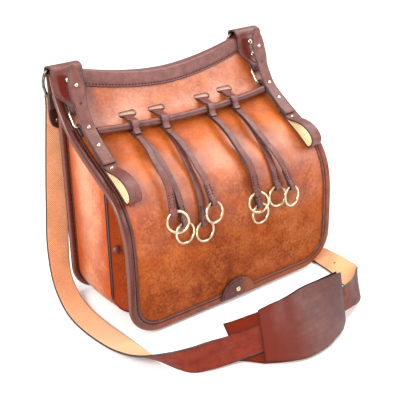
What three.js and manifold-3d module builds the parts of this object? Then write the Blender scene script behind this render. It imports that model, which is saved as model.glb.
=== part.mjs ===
// A leather hunting pouch: a wedge-shaped bag under a large flap, with game carriers on the
// flap and a padded shoulder strap that lies round the bag on the floor.
// Millimetres, +Z up, the front of the bag towards -Y, the origin in the middle of its underside.
import * as THREE from "three";
import { mergeVertices } from "three/addons/utils/BufferGeometryUtils.js";
import Module from "manifold-3d";

const wasm = await Module();
wasm.setup();

// Leather thicknesses, and the gap kept between neighbouring pieces
const GAP = 0.3;
const LEATHER = 2.4;
const BINDING_WALL = 1.2;
const TOP_BINDING_WALL = 1.6;
const TAB_LEATHER = 2.4;
const LOOP_LEATHER = 2.2;
const THONG_LEATHER = 1.8;
const STRAP_LEATHER = 3;
const PAD_LEATHER = 2.2;

// Body of the bag
const BACK_Y = 45;
const FRONT_Y = -45;
const BACK_HALF_WIDTH = 153.4;
const FRONT_HALF_WIDTH = 150.8;
const GUSSET_BACK_HALF_WIDTH = 145.5;
const GUSSET_FRONT_HALF_WIDTH = 149.6;
const GUSSET_BULGE = 3;
const BODY_CORNER = 38;
const BODY_CORNER_STEPS = 6;
const BACK_FOOT = 1.9;
const FRONT_FOOT = 0.4;
const FRONT_TOP = 184;
const GUSSET_UNDER_FLAP = 8;
const GUSSET_DEPTHS = [0, 0.1, 0.25, 0.5, 0.75, 1];
const BACK_BINDING_WIDTH = 9;
const BACK_BINDING_TOP = 250;
const STUD = { x: 142, z: 98, radius: 5.5, height: 4 };

// Dipped top edge of back panel and flap
const TOP_LOW = 280.6;
const TOP_RISE = 17.6;
const TOP_SPAN = 119;
const TOP_POWER = 1.8;
const TOP_BINDING_FRONT = 19.5;
const TOP_BINDING_BACK = 22;
const TOP_BINDING_HALF_LENGTH = 163;

// Flap: side profile from the top edge down to the lower edge, and its outline
const FLAP_HALF_WIDTH = 163.5;
const FLAP_CORNER = 44.5;
const FLAP_CROWN = { height: 3, middle: 124, span: 75 };
const FLAP_BINDING_WIDTH = 12.5;
const FLAP_BINDING_BACK = 10;
const FLAP_BINDING_TOP = 22.5;
const FLAP_CORNER_STEPS = 4;
const FLAP_MIDDLE_STEPS = 8;
const FLAP_BEND_STEP = 7;
const FLAP_LONG_STEP = 34;
const FLAP_EVEN_FROM = 27;
const FLAP_EVEN_TO_FOOT = 62;
const FLAP_PROFILE = [
  { y: 43.3, z: 300 },
  { y: 39.3, z: 284 },
  { y: 29, z: 261 },
  { y: 10, z: 236 },
  { y: -17, z: 216 },
  { y: -50, z: 196 },
  { y: -80, z: 177 },
  { y: -96, z: 155 },
  { y: -103.5, z: 128 },
  { y: -105.5, z: 90 },
  { y: -105, z: 45 },
  { y: -102, z: 5.5 },
];

// Tabs over the top corners, with the rings that carry the strap
const TAB_MIDDLE = 142;
const TAB_X = 143;
const TAB_BACK = [
  { z: 256, out: 0 },
  { z: 275, out: 0 },
  { z: 292, out: 0 },
  { z: 298, out: 1.4 },
];
const TAB_OVER = [
  { y: 48, z: 309 },
  { y: 43.2, z: 308.6 },
  { y: 39.4, z: 306 },
];
const TAB_FRONT = [
  { s: 1, lift: 5.2, half: 21.4 },
  { s: 11, lift: 5, half: 21.4 },
  { s: 20, lift: 4.8, half: 21.4 },
  { s: 26, lift: 5.2, half: 20.4 },
  { s: 31, lift: 5.9, half: 17.5 },
  { s: 36, lift: 6.9, half: 13 },
  { s: 41, lift: 8.4, half: 10.4 },
  { s: 45, lift: 9.8, half: 9.6 },
];
const TONGUE_TAIL = 8;
const STRAP_RING = {
  wire: 2,
  halfWidth: 24.2,
  corner: 4,
  topY: 51.9,
  topZ: 304.5,
  footY: 58.5,
  footZ: 270,
};
const TAB_RIVETS = [
  { s: 9.5, lift: 5 },
  { s: 28.5, lift: 5.6 },
];

// Carriers at the sides of the flap: square ring, pointed strap and teardrop loop.
// s runs down the flap from its top edge line, lift stands off the middle of its leather.
const BUCKLE = { wire: 1.6, halfWidth: 12, top: 48.5, foot: 71.5, lift: 7.3, corner: 2 };
const CARRIER_HALF_WIDTH = 10;
const CARRIER_POINT = { share: 0.14, half: 1.5 };
const CARRIER_UPPER = [
  { s: -8, lift: 22.8 },
  { s: 6, lift: 22.8 },
  { s: 18, lift: 22.4 },
  { s: 46, lift: 19.8 },
  { s: 66, lift: 16.8 },
];
const CARRIER_SHARED = [
  { s: 80, lift: 11.9 },
  { s: 94, lift: 10.2 },
  { s: 108, lift: 8.9 },
  { s: 122, lift: 7.8 },
  { s: 136, lift: 7.1 },
];
const CARRIER_DROP = [
  { s: 143, lift: 7.6 },
  { s: 149, lift: 9.8 },
  { s: 157, lift: 14 },
  { s: 168, lift: 18.8 },
  { s: 179, lift: 21 },
  { s: 187, lift: 19 },
  { s: 191, lift: 12.6 },
  { s: 189.5, lift: 6.6 },
  { s: 182, lift: 4.7 },
  { s: 165, lift: 4.3 },
  { s: 140, lift: 4.3 },
  { s: 110, lift: 4.3 },
  { s: 90, lift: 4.3 },
  { s: 75, lift: 4.3 },
];
const CARRIER_END = 4;
const CARRIER_STEP = 7;
const CARRIER_RIVETS = [
  { s: 19, lift: 22.4 },
  { s: 81, lift: 14.5 },
  { s: 108, lift: 11.6 },
];
const LOOP_PIN = { s: 141, lift: 7.6, radius: 2.2, height: 1.4 };

// Game rod across the flap, hangers through the slots, thongs and rings
const ROD = { radius: 5.5, s: 88, halfLength: 132.4, sides: 10, steps: 8 };
const SLOT = { s: 71, halfWidth: 11, halfHeight: 4.5 };
const HANGERS = [
  { slot: -78, foot: -87 },
  { slot: -37, foot: -45 },
  { slot: 37, foot: 28 },
  { slot: 77, foot: 70 },
];
const HANGER_HALF_WIDTH = { top: 7.4, foot: 4.8 };
const HANGER_FOOT = 110;
const HANGER_UP = [
  { s: 61, lift: -5 },
  { s: 67, lift: -4.4 },
  { s: 71, lift: -1.5 },
  { s: 73.6, lift: 2.2 },
  { s: 77, lift: 7.2 },
];
const THONG_HALF_WIDTH = 4.8;
const GAME_RING = { wire: 1.6, radius: 12.9, sides: 14 };
const RING_WIRE_SIDES = 6;
const UPPER_EYE_LIFT = 12.2;
const EYE_TAIL = 20;
const THONGS = [
  { name: "1a", hanger: 0, x: -99, eye: 212.5, upper: true, swing: 12 },
  { name: "1b", hanger: 0, x: -82.5, eye: 228, upper: false, swing: 0 },
  { name: "2a", hanger: 1, x: -55, eye: 234.5, upper: false, swing: 8 },
  { name: "2b", hanger: 1, x: -41, eye: 215, upper: true, swing: 0 },
  { name: "3a", hanger: 2, x: 28, eye: 221, upper: true, swing: 0 },
  { name: "3b", hanger: 2, x: 34, eye: 237.5, upper: false, swing: 8 },
  { name: "4a", hanger: 3, x: 67, eye: 223, upper: false, swing: -6 },
  { name: "4b", hanger: 3, x: 85, eye: 226.5, upper: true, swing: -4 },
];

// Half-moon patch at the middle of the flap's lower edge
const CLOSURE = { radius: 27, foot: 3, lift: 3, rivetUp: 13 };

// Dome rivets
const RIVET = { radius: 3.6, height: 2.2, sides: 10 };

// Shoulder strap: its two edges, from the left ring round the front to the right ring
const STRAP_HALF_WIDTH = 16.5;
const STRAP_RING_X = 146;
const STRAP_RIVET_X = 152;
const STRAP_TAIL_FOOT = 229;
const STRAP_LEFT_SIDE = [
  { outer: [-165.5, 60.5, 240], inner: [-132.5, 60.5, 240] },
  { outer: [-172, 59.5, 185], inner: [-139, 59.5, 185] },
  { outer: [-178, 59, 125], inner: [-145.5, 59, 125] },
  { outer: [-182.5, 57.5, 75], inner: [-150, 58.5, 72] },
  { outer: [-187, 42, 31], inner: [-156, 48, 31] },
  { outer: [-191, 15, 11], inner: [-159.5, 23, 11] },
  { outer: [-194, -13, 3.6], inner: [-161.5, -8, 3.6] },
  { outer: [-195.5, -46, 2.2], inner: [-162.5, -46, 2.4] },
  { outer: [-194.5, -80, 3], inner: [-161.5, -80, 2.2] },
  { outer: [-192.3, -112, 6.5], inner: [-160, -112, 2.2] },
];
const STRAP_TWIST = [
  { outer: [-187, -152, 18], inner: [-159, -150, 2.2] },
  { outer: [-168, -184, 31], inner: [-153.2, -181, 2.2] },
  { outer: [-146, -196.5, 35], inner: [-144.5, -199.3, 2.2] },
];
const STRAP_FRONT = [
  { outer: [-121, -196.5, 32.4], inner: [-124.5, -209.5, 3] },
  { outer: [-85.5, -192.5, 24], inner: [-92, -220, 6.6] },
  { outer: [-53.5, -210, 34], inner: [-66.5, -232, 13] },
  { outer: [-26, -230.5, 45], inner: [-27, -249.5, 18] },
  { outer: [5.5, -231.5, 48.6], inner: [5.5, -248.5, 20.4] },
  { outer: [32.6, -232.3, 50], inner: [35.4, -243.7, 19] },
  { outer: [54, -233.7, 53], inner: [56, -238.3, 20.6] },
];
const STRAP_BEND = [
  { outer: [80, -224, 48.5], inner: [79, -231, 16] },
  { outer: [100, -212, 41.5], inner: [101, -222, 9.6] },
  { outer: [118, -201, 37.5], inner: [119, -210, 5.6] },
  { outer: [136, -187, 33], inner: [129.5, -191, 3] },
  { outer: [157, -170, 20.5], inner: [130.5, -165, 2.4] },
  { outer: [170.5, -152, 13], inner: [140, -145, 2.2] },
  { outer: [178.5, -110.3, 9.8], inner: [147, -105.5, 2.2] },
  { outer: [184.5, -57, 4.5], inner: [152, -55, 2.2] },
];
const STRAP_RIGHT_SIDE = [
  { outer: [189, 0, 2.2], inner: [156.5, -3, 2.2] },
  { outer: [191, 24, 6], inner: [158.5, 25, 6] },
  { outer: [188.5, 46, 29], inner: [156, 49, 29] },
  { outer: [183.5, 58, 72], inner: [151, 58.5, 72] },
  { outer: [178, 59, 125], inner: [145.5, 59, 125] },
  { outer: [172, 59.5, 185], inner: [139, 59.5, 185] },
  { outer: [165.5, 60.5, 240], inner: [132.5, 60.5, 240] },
];
const STRAP_STEP = 15;

// Shoulder pad: how far each layer reaches below and above the middle of the strap,
// from the first row of STRAP_FRONT that it covers
const PAD_BASE_FROM = 1;
const PAD_COVER_FROM = 2;
const PAD_REACH = [
  { below: 15.9, above: 34 },
  { below: 29, above: 33 },
  { below: 35.2, above: 36 },
  { below: 37, above: 37 },
  { below: 33, above: 36 },
  { below: 33, above: 36 },
];
const PAD_STEPS = 4;

// Leather and metal finishes
const FINISHES = {
  tan: { color: 0xb5622f, roughness: 0.5, metalness: 0 },
  dark: { color: 0x5a342f, roughness: 0.45, metalness: 0 },
  strap: { color: 0x8a4630, roughness: 0.5, metalness: 0 },
  brass: { color: 0xd9c58a, roughness: 0.25, metalness: 1 },
};

const pouch = new THREE.Group();

// Adds a named sub-part with its own material.
function part(name, finish, geometry) {
  const mesh = new THREE.Mesh(faceOut(geometry), new THREE.MeshStandardMaterial(FINISHES[finish]));
  mesh.name = name;
  pouch.add(mesh);
  return mesh;
}

// Keeps only positions, merges shared corners, and turns the faces outwards.
function faceOut(geometry) {
  const bare = new THREE.BufferGeometry();
  bare.setAttribute("position", geometry.getAttribute("position"));
  bare.setIndex(geometry.index);
  const merged = mergeVertices(bare, 1e-4);
  const corners = merged.index.array;
  const at = merged.attributes.position;
  const a = new THREE.Vector3();
  const b = new THREE.Vector3();
  const c = new THREE.Vector3();
  let volume = 0;
  for (let i = 0; i < corners.length; i += 3) {
    a.fromBufferAttribute(at, corners[i]);
    b.fromBufferAttribute(at, corners[i + 1]);
    c.fromBufferAttribute(at, corners[i + 2]);
    volume += a.dot(b.cross(c));
  }
  if (volume < 0) {
    for (let i = 0; i < corners.length; i += 3) {
      const kept = corners[i];
      corners[i] = corners[i + 1];
      corners[i + 1] = kept;
    }
  }
  merged.computeVertexNormals();
  return merged;
}

function solidOf(geometry) {
  const closed = faceOut(geometry);
  const vertProperties = closed.attributes.position.array;
  const triVerts = new Uint32Array(closed.index.array);
  return new wasm.Manifold(new wasm.Mesh({ numProp: 3, vertProperties, triVerts }));
}

function geometryOf(solid) {
  const mesh = solid.getMesh();
  const geometry = new THREE.BufferGeometry();
  geometry.setAttribute("position", new THREE.BufferAttribute(new Float32Array(mesh.vertProperties), 3));
  geometry.setIndex(new THREE.BufferAttribute(new Uint32Array(mesh.triVerts), 1));
  return geometry;
}

// A block bent to shape: place(u, v, w) gives the point for u along, v across and w through
// the leather, each from 0 to 1.
function bentBlock(along, across, place) {
  const block = new THREE.BoxGeometry(1, 1, 1, along, across, 1);
  const at = block.attributes.position;
  for (let i = 0; i < at.count; i++) {
    const p = place(at.getX(i) + 0.5, at.getY(i) + 0.5, at.getZ(i) + 0.5);
    at.setXYZ(i, p.x, p.y, p.z);
  }
  matchDiagonals(block);
  return block;
}

// Splits the block's back face along the same diagonals as its front face, so that a twisted
// strip keeps its thickness.
function matchDiagonals(block) {
  const corners = block.index.array;
  const back = block.groups[5];
  for (let i = back.start; i < back.start + back.count; i += 6) {
    const [a, b, d, , c] = corners.slice(i, i + 5);
    corners.set([a, b, c, a, c, d], i);
  }
}

const ACROSS = new THREE.Vector3(1, 0, 0);

// A strip of leather that follows the points of mid, as wide as halfWidth(0 to 1) says.
function ribbon(mid, halfWidth, thickness) {
  const last = mid.length - 1;
  return bentBlock(last, 1, (u, v, w) => {
    const i = Math.round(u * last);
    const along = mid[Math.min(i + 1, last)].clone().sub(mid[Math.max(i - 1, 0)]).normalize();
    const across = ACROSS.clone().addScaledVector(along, -along.x).normalize();
    const through = across.clone().cross(along);
    const p = mid[i].clone();
    p.addScaledVector(across, (2 * v - 1) * halfWidth(i / last));
    return p.addScaledVector(through, (w - 0.5) * thickness);
  });
}

// The seat of a rivet on the outer face of a strip that runs down the flap, at the point of its
// middle that is nearest to near.
function seatOn(mid, thickness, near) {
  let best = null;
  for (let i = 0; i < mid.length - 1; i++) {
    const line = new THREE.Line3(mid[i], mid[i + 1]);
    const point = line.closestPointToPoint(near, true, new THREE.Vector3());
    const distance = point.distanceTo(near);
    const down = line.delta(new THREE.Vector3());
    if (!best || distance < best.distance) best = { point, distance, down };
  }
  const up = best.down.negate().normalize();
  const out = ACROSS.clone().cross(up).normalize();
  const seat = best.point.addScaledVector(out, thickness / 2 + GAP);
  return new THREE.Matrix4().makeBasis(up.clone().cross(out), up, out).setPosition(seat);
}

// Points along a smooth curve through the given points, about one step apart.
function smoothed(points, step) {
  const curve = new THREE.CatmullRomCurve3(points);
  const count = Math.max(2, Math.round(curve.getLength() / step));
  return curve.getSpacedPoints(count);
}

// The value of a column of a table of rows at s, between the rows around it.
function between(rows, s, column) {
  const next = rows.findIndex((row) => row.s >= s);
  if (next < 0) return rows.at(-1)[column];
  if (next === 0) return rows[0][column];
  const [a, b] = [rows[next - 1], rows[next]];
  return THREE.MathUtils.mapLinear(s, a.s, b.s, a[column], b[column]);
}

function topEdge(x) {
  return TOP_LOW + TOP_RISE * Math.min(Math.abs(x) / TOP_SPAN, 1) ** TOP_POWER;
}

// The flap's middle surface
const profile = new THREE.CatmullRomCurve3(
  FLAP_PROFILE.map((row) => new THREE.Vector3(0, row.y, row.z)),
  false,
  "catmullrom",
  0.5,
);
profile.arcLengthDivisions = 400;
const FLAP_LENGTH = profile.getLength();

// The point at x, s down the flap, lift in front of the middle of its leather.
function flapPoint(x, s, lift) {
  const on = THREE.MathUtils.clamp(s, 0, FLAP_LENGTH);
  const p = profile.getPointAt(on / FLAP_LENGTH);
  const down = profile.getTangentAt(on / FLAP_LENGTH);
  const out = new THREE.Vector3(0, down.z, -down.y);
  const side = Math.max(0, 1 - (x / FLAP_HALF_WIDTH) ** 2);
  const crown = FLAP_CROWN.height * side * Math.exp(-(((s - FLAP_CROWN.middle) / FLAP_CROWN.span) ** 2));
  p.addScaledVector(down, s - on);
  p.addScaledVector(out, lift + crown);
  p.x = x;
  return p;
}

// A frame on the flap: x across, y up the flap, z out of it.
function flapFrame(x, s, lift) {
  const down = flapPoint(x, s + 1, lift).sub(flapPoint(x, s - 1, lift)).normalize();
  const up = down.negate();
  const out = ACROSS.clone().cross(up);
  return new THREE.Matrix4().makeBasis(ACROSS, up, out).setPosition(flapPoint(x, s, lift));
}

// Points of an arc round a bar that lies across the flap, from one angle to another in degrees:
// 0 is down the flap, 90 is out of it.
function arcRound(x, bar, radius, from, to, steps) {
  const frame = flapFrame(x, bar.s, bar.lift);
  const points = [];
  for (let i = 0; i <= steps; i++) {
    const angle = THREE.MathUtils.degToRad(THREE.MathUtils.lerp(from, to, i / steps));
    const flat = new THREE.Vector3(0, -radius * Math.cos(angle), radius * Math.sin(angle));
    points.push(flat.applyMatrix4(frame));
  }
  return points;
}

// How far down the flap its profile first passes a test.
function flapWhere(passed) {
  let before = 0;
  let after = FLAP_LENGTH;
  while (after - before > 0.01) {
    const middle = (before + after) / 2;
    if (passed(profile.getPointAt(middle / FLAP_LENGTH))) after = middle;
    else before = middle;
  }
  return before;
}

// The flap's top edge and its round lower corners, as distances down the flap
const flapTop = (x) => flapWhere((p) => p.z <= topEdge(x));

function flapFoot(x) {
  const past = Math.abs(x) - (FLAP_HALF_WIDTH - FLAP_CORNER);
  if (past <= 0) return FLAP_LENGTH;
  return FLAP_LENGTH - FLAP_CORNER + Math.sqrt(Math.max(0, FLAP_CORNER ** 2 - past ** 2));
}

// Rows down the flap, close together where it bends
function flapStations() {
  const stations = [];
  let last = 0;
  let heading = profile.getTangentAt(0);
  for (let s = 1; s < FLAP_LENGTH; s += 1) {
    const now = profile.getTangentAt(s / FLAP_LENGTH);
    const bent = THREE.MathUtils.radToDeg(heading.angleTo(now)) > FLAP_BEND_STEP;
    if (bent || s - last > FLAP_LONG_STEP) {
      stations.push(s);
      last = s;
      heading = now;
    }
  }
  return stations;
}

const FLAP_STATIONS = flapStations();
const stationsBetween = (from, to) => FLAP_STATIONS.filter((s) => s > from && s < to);

// Columns across the flap, close together round its corners
function flapColumns() {
  const inner = FLAP_HALF_WIDTH - FLAP_CORNER;
  const right = [];
  for (let i = 1; i <= FLAP_CORNER_STEPS; i++) {
    right.push(inner + FLAP_CORNER * Math.sin((Math.PI / 2) * (i / FLAP_CORNER_STEPS)));
  }
  return [...right.map((x) => -x).reverse(), ...evenColumns(inner), ...right];
}

function evenColumns(inner) {
  const columns = [];
  for (let i = 0; i <= FLAP_MIDDLE_STEPS; i++) {
    columns.push(THREE.MathUtils.lerp(-inner, inner, i / FLAP_MIDDLE_STEPS));
  }
  return columns;
}

// Rows of the flap at x: from the dipped top edge, down even rows, to the lower edge
function flapRows(x) {
  const top = flapTop(x);
  const foot = flapFoot(x);
  const evenTo = FLAP_LENGTH - FLAP_EVEN_TO_FOOT;
  const lerp = THREE.MathUtils.lerp;
  const upper = [top, lerp(top, FLAP_EVEN_FROM, 1 / 3), lerp(top, FLAP_EVEN_FROM, 2 / 3), FLAP_EVEN_FROM];
  const lower = [evenTo, lerp(evenTo, foot, 1 / 2), foot];
  return [...upper, ...stationsBetween(FLAP_EVEN_FROM + 1, evenTo - 1), ...lower];
}

function ovalShape(halfWidth, halfHeight) {
  const shape = new THREE.Shape();
  const straight = halfWidth - halfHeight;
  shape.moveTo(-straight, -halfHeight);
  shape.lineTo(straight, -halfHeight);
  shape.absarc(straight, 0, halfHeight, -Math.PI / 2, Math.PI / 2, false);
  shape.lineTo(-straight, halfHeight);
  shape.absarc(-straight, 0, halfHeight, Math.PI / 2, (3 * Math.PI) / 2, false);
  return shape;
}

function makeFlap() {
  const columns = flapColumns();
  const rows = columns.map(flapRows);
  const lastColumn = columns.length - 1;
  const lastRow = rows[0].length - 1;
  const sheet = bentBlock(lastRow, lastColumn, (u, v, w) => {
    const column = Math.round(v * lastColumn);
    const s = rows[column][Math.round(u * lastRow)];
    return flapPoint(columns[column], s, (w - 0.5) * LEATHER);
  });
  let solid = solidOf(sheet);
  const depth = 6 * LEATHER;
  for (const hanger of HANGERS) {
    const oval = ovalShape(SLOT.halfWidth, SLOT.halfHeight);
    const cutter = new THREE.ExtrudeGeometry(oval, { depth, bevelEnabled: false, curveSegments: 3 });
    cutter.translate(0, 0, -depth / 2);
    cutter.applyMatrix4(flapFrame(hanger.slot, SLOT.s, 0));
    solid = solid.subtract(solidOf(cutter));
  }
  part("flap", "tan", geometryOf(solid));
}

// The two faces of a strip folded over an edge: {inset, lift} from the front, round the edge,
// to the back. half is half the thickness of what it covers.
function foldedStrip(half, wall, front, back) {
  const near = half + GAP;
  const far = near + wall;
  const rim = -GAP - wall;
  return {
    inner: [
      { inset: front, lift: near },
      { inset: -GAP, lift: near },
      { inset: -GAP, lift: -near },
      { inset: back, lift: -near },
    ],
    outer: [
      { inset: front, lift: far },
      { inset: rim, lift: far },
      { inset: rim, lift: -far },
      { inset: back, lift: -far },
    ],
  };
}

// Outline of a panel's sides and foot: rows of a point {x, d} and its inward direction, where
// d runs down the panel. sides holds the rows of its straight sides; the corners are round.
function sidesAndFoot(halfWidth, sides, foot, corner, cornerSteps, footSteps) {
  const rows = sides.map((d) => ({ x: -halfWidth, d, ix: 1, id: 0 }));
  for (let i = 0; i <= cornerSteps; i++) {
    const angle = (Math.PI / 2) * (i / cornerSteps);
    const ix = Math.cos(angle);
    const id = -Math.sin(angle);
    rows.push({ x: -halfWidth + corner - corner * ix, d: foot - corner - corner * id, ix, id });
  }
  const inner = halfWidth - corner;
  for (let i = 1; i < footSteps / 2; i++) {
    rows.push({ x: -inner + (2 * inner * i) / footSteps, d: foot, ix: 0, id: -1 });
  }
  const mirrored = rows.map((row) => ({ ...row, x: -row.x, ix: -row.ix })).reverse();
  return [...rows, { x: 0, d: foot, ix: 0, id: -1 }, ...mirrored];
}

// A strip folded over the edge of a panel; at(x, d, lift) places a point of that panel.
function edgeBinding(outline, strip, at) {
  const last = outline.length - 1;
  const rows = strip.inner.length - 1;
  return bentBlock(last, rows, (u, v, w) => {
    const row = outline[Math.round(u * last)];
    const side = w > 0.5 ? strip.outer : strip.inner;
    const { inset, lift } = side[Math.round(v * rows)];
    return at(row.x + row.ix * inset, row.d + row.id * inset, lift);
  });
}

function makeFlapBinding() {
  const evenTo = FLAP_LENGTH - FLAP_EVEN_TO_FOOT;
  const sides = [FLAP_BINDING_TOP, ...stationsBetween(FLAP_BINDING_TOP + 1, evenTo - 1), evenTo];
  const steps = { corner: FLAP_CORNER_STEPS, foot: 4 };
  const outline = sidesAndFoot(FLAP_HALF_WIDTH, sides, FLAP_LENGTH, FLAP_CORNER, steps.corner, steps.foot);
  const strip = foldedStrip(LEATHER / 2, BINDING_WALL, FLAP_BINDING_WIDTH, FLAP_BINDING_BACK);
  part("flap_binding", "dark", edgeBinding(outline, strip, flapPoint));
}

// A panel with round lower corners; top lists the points of its upper edge from left to right.
function panelShape(halfWidth, foot, top) {
  const shape = new THREE.Shape();
  const middle = foot + BODY_CORNER;
  shape.moveTo(-halfWidth, middle);
  shape.absarc(BODY_CORNER - halfWidth, middle, BODY_CORNER, Math.PI, 1.5 * Math.PI, false);
  shape.absarc(halfWidth - BODY_CORNER, middle, BODY_CORNER, 1.5 * Math.PI, 2 * Math.PI, false);
  for (const point of top.toReversed()) shape.lineTo(point.x, point.z);
  shape.closePath();
  return shape;
}

// A flat upright panel with one face at y and its leather behind that face.
function makePanel(name, shape, y) {
  const curveSegments = BODY_CORNER_STEPS / 2;
  const panel = new THREE.ExtrudeGeometry(shape, { depth: LEATHER, bevelEnabled: false, curveSegments });
  panel.rotateX(Math.PI / 2);
  panel.translate(0, y + LEATHER, 0);
  part(name, "tan", panel);
}

function makeBackPanel() {
  const columns = [-BACK_HALF_WIDTH, ...evenColumns(TOP_SPAN), BACK_HALF_WIDTH];
  const top = columns.map((x) => ({ x, z: topEdge(x) }));
  makePanel("back_panel", panelShape(BACK_HALF_WIDTH, BACK_FOOT, top), BACK_Y);
}

function makeFrontPanel() {
  const top = [-FRONT_HALF_WIDTH, FRONT_HALF_WIDTH].map((x) => ({ x, z: FRONT_TOP }));
  makePanel("front_panel", panelShape(FRONT_HALF_WIDTH, FRONT_FOOT, top), FRONT_Y - LEATHER);
}

function makeBackBinding() {
  const sides = [-BACK_BINDING_TOP, -BACK_BINDING_TOP / 2];
  const outline = sidesAndFoot(BACK_HALF_WIDTH, sides, -BACK_FOOT, BODY_CORNER, BODY_CORNER_STEPS, 2);
  const strip = foldedStrip(LEATHER / 2, BINDING_WALL, BACK_BINDING_WIDTH, BACK_BINDING_WIDTH);
  const middle = BACK_Y + LEATHER / 2;
  const at = (x, d, lift) => new THREE.Vector3(x, middle - lift, -d);
  part("back_binding", "dark", edgeBinding(outline, strip, at));
}

// Both side walls and the bottom in one strip, a little bulged between back and front.
function makeGusset() {
  const backEdge = BACK_Y - GAP - BINDING_WALL - GAP;
  const frontEdge = FRONT_Y + GAP;
  const shares = [0, 1 / 3, 2 / 3];
  const footSteps = 4;
  const stations = 2 * (shares.length + BODY_CORNER_STEPS) + footSteps;
  const last = GUSSET_DEPTHS.length - 1;
  const strip = bentBlock(stations, last, (u, v, w) => {
    const depth = GUSSET_DEPTHS[Math.round(v * last)];
    const y = THREE.MathUtils.lerp(backEdge, frontEdge, depth);
    const wide = THREE.MathUtils.lerp(GUSSET_BACK_HALF_WIDTH, GUSSET_FRONT_HALF_WIDTH, depth);
    const halfWidth = wide + GUSSET_BULGE * Math.sin(Math.PI * depth);
    const underFlap = profile.getPointAt(flapWhere((p) => p.y <= y) / FLAP_LENGTH).z;
    const top = Math.min(underFlap, topEdge(halfWidth)) - GUSSET_UNDER_FLAP;
    const sides = shares.map((share) => THREE.MathUtils.lerp(-top, -BODY_CORNER, share));
    const outline = sidesAndFoot(halfWidth, sides, 0, BODY_CORNER, BODY_CORNER_STEPS, footSteps);
    const row = outline[Math.round(u * stations)];
    const inset = w * LEATHER;
    return new THREE.Vector3(row.x + row.ix * inset, y, -(row.d + row.id * inset));
  });
  part("gusset", "tan", strip);
}

// A strip folded over the dipped top edge of flap and back panel.
function makeTopBinding() {
  const near = LEATHER / 2 + 1.5 * GAP;
  const backFace = BACK_Y + LEATHER + GAP;
  const columns = [-TOP_BINDING_HALF_LENGTH, ...evenColumns(TOP_SPAN), TOP_BINDING_HALF_LENGTH];
  const last = columns.length - 1;
  const shares = [1, 2 / 3, 1 / 3, 0];
  const rows = shares.length + 1;
  const strip = bentBlock(last, rows, (u, v, w) => {
    const x = columns[Math.round(u * last)];
    const through = w * TOP_BINDING_WALL;
    const back = backFace + through;
    const edge = flapTop(x);
    const row = Math.round(v * rows);
    const rim = topEdge(x) + 2 * GAP + through;
    if (row === rows) return new THREE.Vector3(x, back, topEdge(x) - TOP_BINDING_BACK);
    if (row === rows - 1) return new THREE.Vector3(x, back, rim);
    const p = flapPoint(x, edge + shares[row] * TOP_BINDING_FRONT, near + through);
    return shares[row] > 0 ? p : p.setZ(rim);
  });
  part("top_binding", "dark", strip);
}

// A ring of round wire round a closed row of points.
function wireRing(points, wire, sides) {
  const count = points.length;
  const ring = new THREE.TorusGeometry(1, 0.5, sides, count);
  const at = ring.attributes.position;
  const quarter = Math.floor(count / 4);
  const flat = new THREE.Triangle(points[0], points[quarter], points[2 * quarter]);
  const facing = flat.getNormal(new THREE.Vector3());
  for (let i = 0; i < at.count; i++) {
    const station = (i % (count + 1)) % count;
    const angle = (2 * Math.PI * (Math.floor(i / (count + 1)) % sides)) / sides;
    const before = points[(station + count - 1) % count];
    const along = points[(station + 1) % count].clone().sub(before).normalize();
    const outwards = along.cross(facing).normalize();
    const p = points[station].clone();
    p.addScaledVector(outwards, wire * Math.cos(angle));
    p.addScaledVector(facing, wire * Math.sin(angle));
    at.setXYZ(i, p.x, p.y, p.z);
  }
  return ring;
}

// Points round a rectangle with round corners; at(a, b) places its flat points.
function roundedRectangle(halfWidth, halfHeight, corner, turns, at) {
  const points = [];
  const centres = [
    { a: halfWidth - corner, b: halfHeight - corner, from: 0 },
    { a: corner - halfWidth, b: halfHeight - corner, from: 90 },
    { a: corner - halfWidth, b: corner - halfHeight, from: 180 },
    { a: halfWidth - corner, b: corner - halfHeight, from: 270 },
  ];
  for (const centre of centres) {
    for (let i = 0; i <= turns; i++) {
      const angle = THREE.MathUtils.degToRad(centre.from + (90 * i) / turns);
      points.push(at(centre.a + corner * Math.cos(angle), centre.b + corner * Math.sin(angle)));
    }
  }
  return points;
}

function makeStrapRing(name, side) {
  const top = new THREE.Vector3(side * TAB_MIDDLE, STRAP_RING.topY, STRAP_RING.topZ);
  const foot = new THREE.Vector3(side * TAB_MIDDLE, STRAP_RING.footY, STRAP_RING.footZ);
  const middle = top.clone().lerp(foot, 0.5);
  const halfHeight = top.distanceTo(foot) / 2;
  const up = top.sub(foot).normalize();
  const at = (a, b) => middle.clone().addScaledVector(ACROSS, a).addScaledVector(up, b);
  const points = roundedRectangle(STRAP_RING.halfWidth, halfHeight, STRAP_RING.corner, 3, at);
  part(name, "brass", wireRing(points, STRAP_RING.wire, RING_WIRE_SIDES));
}

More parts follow.
